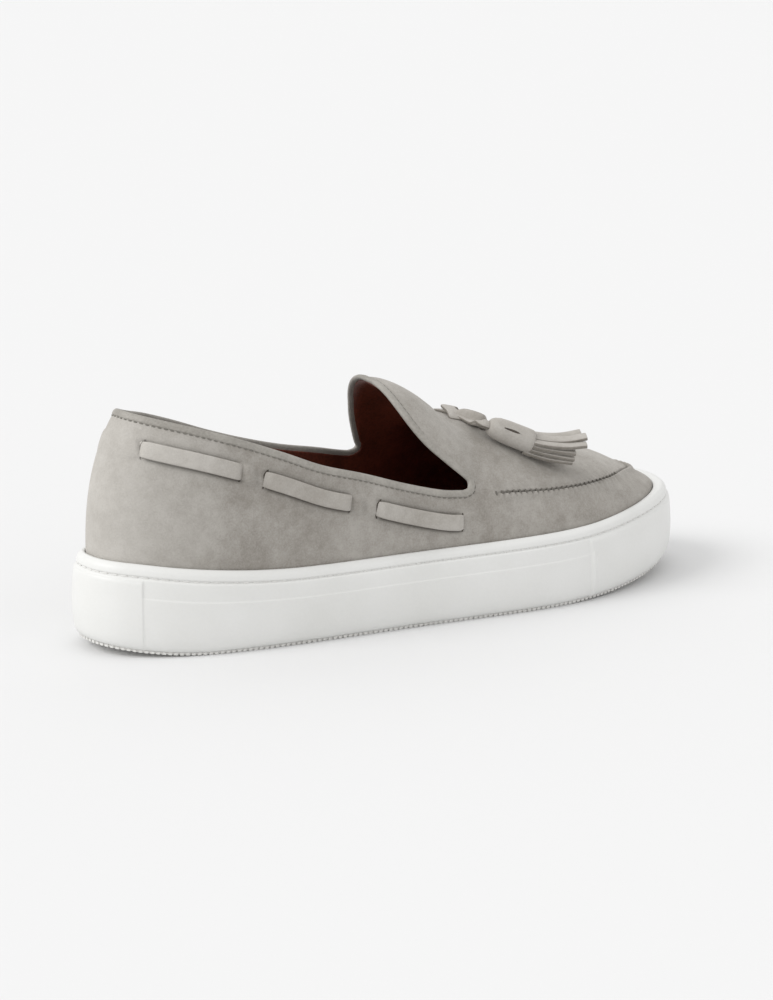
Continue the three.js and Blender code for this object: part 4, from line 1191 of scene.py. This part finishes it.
def cup_wall(u, share):
    """Inset of the cup's wall at places round it and shares of its height."""
    x = outline(u)[:, 0]
    inset = look_up(WALL, share) * WALL_FLARE * np.ones(len(u))
    back, front = PANEL[0] * SOLE_LENGTH, PANEL[1] * SOLE_LENGTH
    panel = fade(x, back - 0.4, back + 0.4) * (1 - fade(x, front - 0.4, front + 0.4))
    inset -= PANEL_PROUD * panel * (1 - fade(share, *PANEL_TOP))
    inset -= BUMPER_PROUD * (1 - panel) * (1 - fade(share, *BUMPER_TOP))
    # the toe piece begins with a rounded rib that ends in a point
    rib = 0.6 * gauss(x - front - 1.5, 1.1 * (1.05 - fade(share, 0.5, 0.72)))
    inset -= rib * (1 - fade(share, 0.66, 0.72))
    return inset + GROOVE * gauss(share - GROOVE_AT, 0.016)


def cup_sole():
    u = sole_places(560)
    shares = np.unique(np.concatenate([
        np.linspace(0, 0.2, 10), np.linspace(0.2, 0.6, 7), np.linspace(0.6, 0.64, 7),
        np.linspace(0.64, 0.82, 5), np.linspace(0.82, 0.9, 15), np.linspace(0.9, 1.0, 12),
    ]))
    rings = []
    for share in shares:
        plan = outline(u, cup_wall(u, share))
        base = spring_height(plan[:, 0]) + WALL_FOOT
        z = base + (rim_height(plan[:, 0]) - base) * share
        rings.append(np.column_stack([plan, z]))
    # under the wall's foot the cup steps in over the tread strip
    under = []
    for inset, height in ((TREAD_INSET + 2.4, TREAD + GAP), (TREAD_INSET + 2.0, WALL_FOOT)):
        plan = outline(u, np.full(len(u), inset))
        under.append(np.column_stack([plan, spring_height(plan[:, 0]) + height]))
    rings = under + rings
    mouth = upper_inset(u) - GAP
    edge = cup_wall(u, 1.0)
    for share, drop in ((0.35, -0.12), (0.7, -0.08), (0.92, 0.12), (1.0, 0.6)):
        plan = outline(u, edge + (mouth - edge) * share)
        rings.append(np.column_stack([plan, rim_height(plan[:, 0]) - drop]))
    plan = outline(u, mouth)
    rings.append(np.column_stack([plan, rim_height(plan[:, 0]) - CUP_DEPTH]))
    rings = np.array(rings)
    return closed_rings("cup_sole", rings, [white_rubber])


def closed_rings(name, rings, materials):
    """Closed body from rings round the outline, with ladder caps at both ends."""
    count, width = rings.shape[:2]
    faces = [tuple(f) for f in grid_faces(count, width, wrap_columns=True)]
    half = width // 2
    for start, flip in ((0, True), ((count - 1) * width, False)):
        for k in range(half):
            quad = [start + k, start + k + 1, start + (width - k - 1) % width,
                    start + (width - k) % width]
            quad = list(dict.fromkeys(quad))  # a triangle where the ladder ends
            if len(quad) >= 3:
                faces.append(tuple(quad[::-1] if flip else quad))
    made = mesh_object(name, rings.reshape(-1, 3), faces, materials)
    return closed_body(made)


cup = cup_sole()
fit(cup, "cupsole")


def tread_strip():
    u = sole_places(420)
    rings = []
    for inset, height in (
        (TREAD_INSET + 1.5, 0.0), (TREAD_INSET + 1.1, 0.2), (TREAD_INSET + 0.9, 0.6),
        (TREAD_INSET + 0.9, WALL_FOOT + 0.1), (TREAD_INSET + 2.6, WALL_FOOT + 0.2),
        (TREAD_INSET + 2.7, TREAD),
    ):
        plan = outline(u, np.full(len(u), inset))
        rings.append(np.column_stack([plan, spring_height(plan[:, 0]) + height]))
    return closed_rings("tread_sole", np.array(rings), [tread_rubber])


tread = tread_strip()
fit(tread, "outsole")


def footbed_sheet():
    u = sole_places(260)
    inset = upper_inset(u) + UPPER_WALL + GAP
    rings = []
    for extra, height in ((0, 0), (0, 0.7), (0.25, 0.92), (1.0, 1.0), (3.0, 0.97)):
        plan = outline(u, inset + extra)
        z = rim_height(plan[:, 0]) - CUP_DEPTH + GAP + INSOLE * height
        rings.append(np.column_stack([plan, z]))
    for share in (0.85, 0.65, 0.45, 0.25, 0.1):
        plan = outline(u, inset + 3.0)
        middle = np.column_stack([plan[:, 0], np.full(len(u), MIDDLE)])
        plan = middle + (plan - middle) * share
        z = rim_height(plan[:, 0]) - CUP_DEPTH + GAP + INSOLE * (0.97 - 0.12 * (1 - share))
        rings.append(np.column_stack([plan, z]))
    return closed_rings("footbed", np.array(rings), [footbed_leather])


footbed = footbed_sheet()
fit(footbed, "insole")


# ---- What repeats along a path: stitches and the tread's side cuts
def repeat_tree(shape, material):
    """Node tree that puts a small solid at even steps along a path and turns it to the path."""
    tree = bpy.data.node_groups.new(f"{shape} along a path", "GeometryNodeTree")
    face = tree.interface
    face.new_socket("Geometry", in_out="INPUT", socket_type="NodeSocketGeometry")
    for label in ("Spacing", "Length", "Width", "Height"):
        face.new_socket(label, in_out="INPUT", socket_type="NodeSocketFloat")
    face.new_socket("Geometry", in_out="OUTPUT", socket_type="NodeSocketGeometry")
    given = add(tree, "NodeGroupInput").outputs
    curve = add(tree, "GeometryNodeMeshToCurve", {"Mesh": given["Geometry"]}).outputs[0]
    even = add(tree, "GeometryNodeResampleCurve", {
        "Curve": curve, "Length": given["Spacing"],
    }, mode="LENGTH").outputs[0]
    if shape == "stitch":
        solid = add(tree, "GeometryNodeMeshUVSphere", {"Segments": 8, "Rings": 5, "Radius": 0.5})
    else:
        solid = add(tree, "GeometryNodeMeshCube", {"Size": (1.0, 1.0, 1.0)})
    size = add(tree, "ShaderNodeCombineXYZ", {
        "X": given["Length"], "Y": given["Width"], "Z": given["Height"],
    }).outputs[0]
    outward = add(tree, "GeometryNodeInputNamedAttribute", {"Name": "outward"},
                  data_type="FLOAT_VECTOR").outputs[0]
    tangent = add(tree, "GeometryNodeInputTangent").outputs[0]
    turned = add(tree, "FunctionNodeAxesToRotation", {
        "Primary Axis": outward, "Secondary Axis": tangent,
    }, primary_axis="Z", secondary_axis="X").outputs[0]
    copies = add(tree, "GeometryNodeInstanceOnPoints", {
        "Points": even, "Instance": solid.outputs["Mesh"], "Rotation": turned, "Scale": size,
    }).outputs[0]
    real = add(tree, "GeometryNodeRealizeInstances", {"Geometry": copies}).outputs[0]
    if shape == "stitch":
        real = add(tree, "GeometryNodeSetShadeSmooth", {"Geometry": real}).outputs[0]
    done = add(tree, "GeometryNodeSetMaterial", {"Geometry": real, "Material": material})
    add(tree, "NodeGroupOutput", {"Geometry": done.outputs[0]})
    return tree


def along_path(name, shape, material, paths, spacing, length, width, height):
    """Plain mesh of small solids along paths, each path being (points, outward, closed)."""
    points, edges, outwards, start = [], [], [], 0
    for line, outward, closed in paths:
        count = len(line)
        points.append(to_frame(line))
        outwards.append(outward)
        last = count if closed else count - 1
        edges += [(start + k, start + (k + 1) % count) for k in range(last)]
        start += count
    mesh = bpy.data.meshes.new(name)
    mesh.from_pydata(np.concatenate(points).tolist(), edges, [])
    attribute = mesh.attributes.new("outward", "FLOAT_VECTOR", "POINT")
    attribute.data.foreach_set("vector", np.concatenate(outwards).astype(np.float32).ravel())
    guide = bpy.data.objects.new(f"{name}_guide", mesh)
    bpy.context.scene.collection.objects.link(guide)
    tree = repeat_tree(shape, material)
    modifier = guide.modifiers.new("repeat", "NODES")
    modifier.node_group = tree
    sizes = {"Spacing": spacing, "Length": length, "Width": width, "Height": height}
    for item in tree.interface.items_tree:
        if item.in_out == "INPUT" and item.name in sizes:
            modifier[item.identifier] = sizes[item.name] * MM
    graph = bpy.context.evaluated_depsgraph_get()
    made_mesh = bpy.data.meshes.new_from_object(guide.evaluated_get(graph))
    made_mesh.name = name
    made = bpy.data.objects.new(name, made_mesh)
    bpy.context.scene.collection.objects.link(made)
    bpy.data.objects.remove(guide)
    return made


def sole_path(share=None, height=None, inset=None, count=900):
    """A path round the wall at a share of its height, or round the tread at a height."""
    u = np.linspace(0, TURNS, count, endpoint=False)
    if share is None:
        plan = outline(u, np.full(count, inset))
        z = spring_height(plan[:, 0]) + height
    else:
        plan = outline(u, cup_wall(u, share) - 0.1)
        base = spring_height(plan[:, 0]) + WALL_FOOT
        z = base + (rim_height(plan[:, 0]) - base) * share
    slope = spline_point(u, slope_weights) * STRETCH
    outward = unit(np.stack([slope[:, 1], -slope[:, 0], np.zeros(count)], -1))
    return np.column_stack([plan, z]), outward, True


sole_stitches = along_path("sole_stitches", "stitch", white_thread, [sole_path(share=GROOVE_AT)],
                           spacing=4.2, length=3.4, width=0.8, height=0.7)
fit(sole_stitches)

tread_cuts = along_path("tread_serrations", "block", tread_rubber,
                        [sole_path(height=0.62, inset=TREAD_INSET + 0.9)],
                        spacing=2.4, length=1.5, width=1.1, height=0.9)
fit(tread_cuts)


def seam_paths():
    """The pleated part of the seam, as far as the toe piece's smooth turn."""
    paths = []
    for side in (LATERAL, MEDIAL):
        place, normal, along = seam_line(side)
        keep = (along > SEAM_STITCHED[0]) & (along < SEAM_STITCHED[1])
        paths.append((place[keep] + normal[keep] * 0.2, normal[keep], False))
    return paths


seam_stitches = along_path("apron_stitches", "stitch", dark_thread, seam_paths(),
                           spacing=PUCKER, length=1.1, width=2.7, height=0.9)
fit(seam_stitches)


def collar_stitch_path():
    """Just under the piping, on the outside of the suede."""
    paths = []
    for side in (LATERAL, MEDIAL):
        section = sections(side, *EDGE_STEPS, 1)
        section = Section(*(part[section.is_open] for part in section))
        loop = last_point(side, section.top_t, section.top_turn)
        inner_t, inner_turn = place_on(section, np.full((len(loop), 1), 0.99))
        step = np.linalg.norm(loop - last_point(side, inner_t, inner_turn)[:, 0], axis=1)
        near = 1 - 0.01 * 1.15 / step
        t, turn = place_on(section, near[:, None])
        place = last_point(side, t[:, 0], turn[:, 0])
        normal = last_normal(side, t[:, 0], turn[:, 0])
        paths.append((place + normal * 0.08, normal))
    line = np.concatenate([paths[0][0], paths[1][0][::-1][1:-1]])
    out = np.concatenate([paths[0][1], paths[1][1][::-1][1:-1]])
    return [(line, out, True)]


collar_stitches = along_path("collar_stitches", "stitch", grey_thread, collar_stitch_path(),
                             spacing=2.6, length=1.9, width=0.55, height=0.5)
fit(collar_stitches)


# ---- Floor, light and view
def make_floor():
    mesh = bpy.data.meshes.new("floor")
    reach = 14.0  # metres, past the camera's view
    mesh.from_pydata([(-reach, -reach, 0), (reach, -reach, 0), (reach, reach, 0),
                      (-reach, reach, 0)], [], [(0, 1, 2, 3)])
    material, tree = new_material("matt pale studio floor")
    surface = add(tree, "ShaderNodeBsdfPrincipled", {
        "Base Color": linear("#E3E3E3"), "Roughness": 0.9,
    })
    surface.inputs["Specular IOR Level"].default_value = 0.1
    add(tree, "ShaderNodeOutputMaterial", {"Surface": surface.outputs[0]})
    mesh.materials.append(material)
    floor = bpy.data.objects.new("floor", mesh)
    bpy.context.scene.collection.objects.link(floor)


KEY_SIDE = (-0.75, 0.12, 0.62)  # from the shoe towards the key light


def make_light():
    """An even pale room and one wide key light, high behind the heel."""
    world = bpy.data.worlds.new("studio")
    world.use_nodes = True
    bpy.context.scene.world = world
    tree = world.node_tree
    tree.nodes.clear()
    sky = add(tree, "ShaderNodeBackground", {"Color": linear("#F6F6F6"), "Strength": 1.0})
    add(tree, "ShaderNodeOutputWorld", {"Surface": sky.outputs[0]})
    key = bpy.data.lights.new("key", "SUN")
    key.energy = 1.4
    key.angle = 0.6
    lamp = bpy.data.objects.new("key", key)
    lamp.rotation_mode = "QUATERNION"
    lamp.rotation_quaternion = (-Vector(KEY_SIDE)).to_track_quat("-Z", "Y")
    bpy.context.scene.collection.objects.link(lamp)
    view = bpy.context.scene.view_settings
    view.view_transform = "Standard"
    view.look = "None"


make_floor()
make_light()
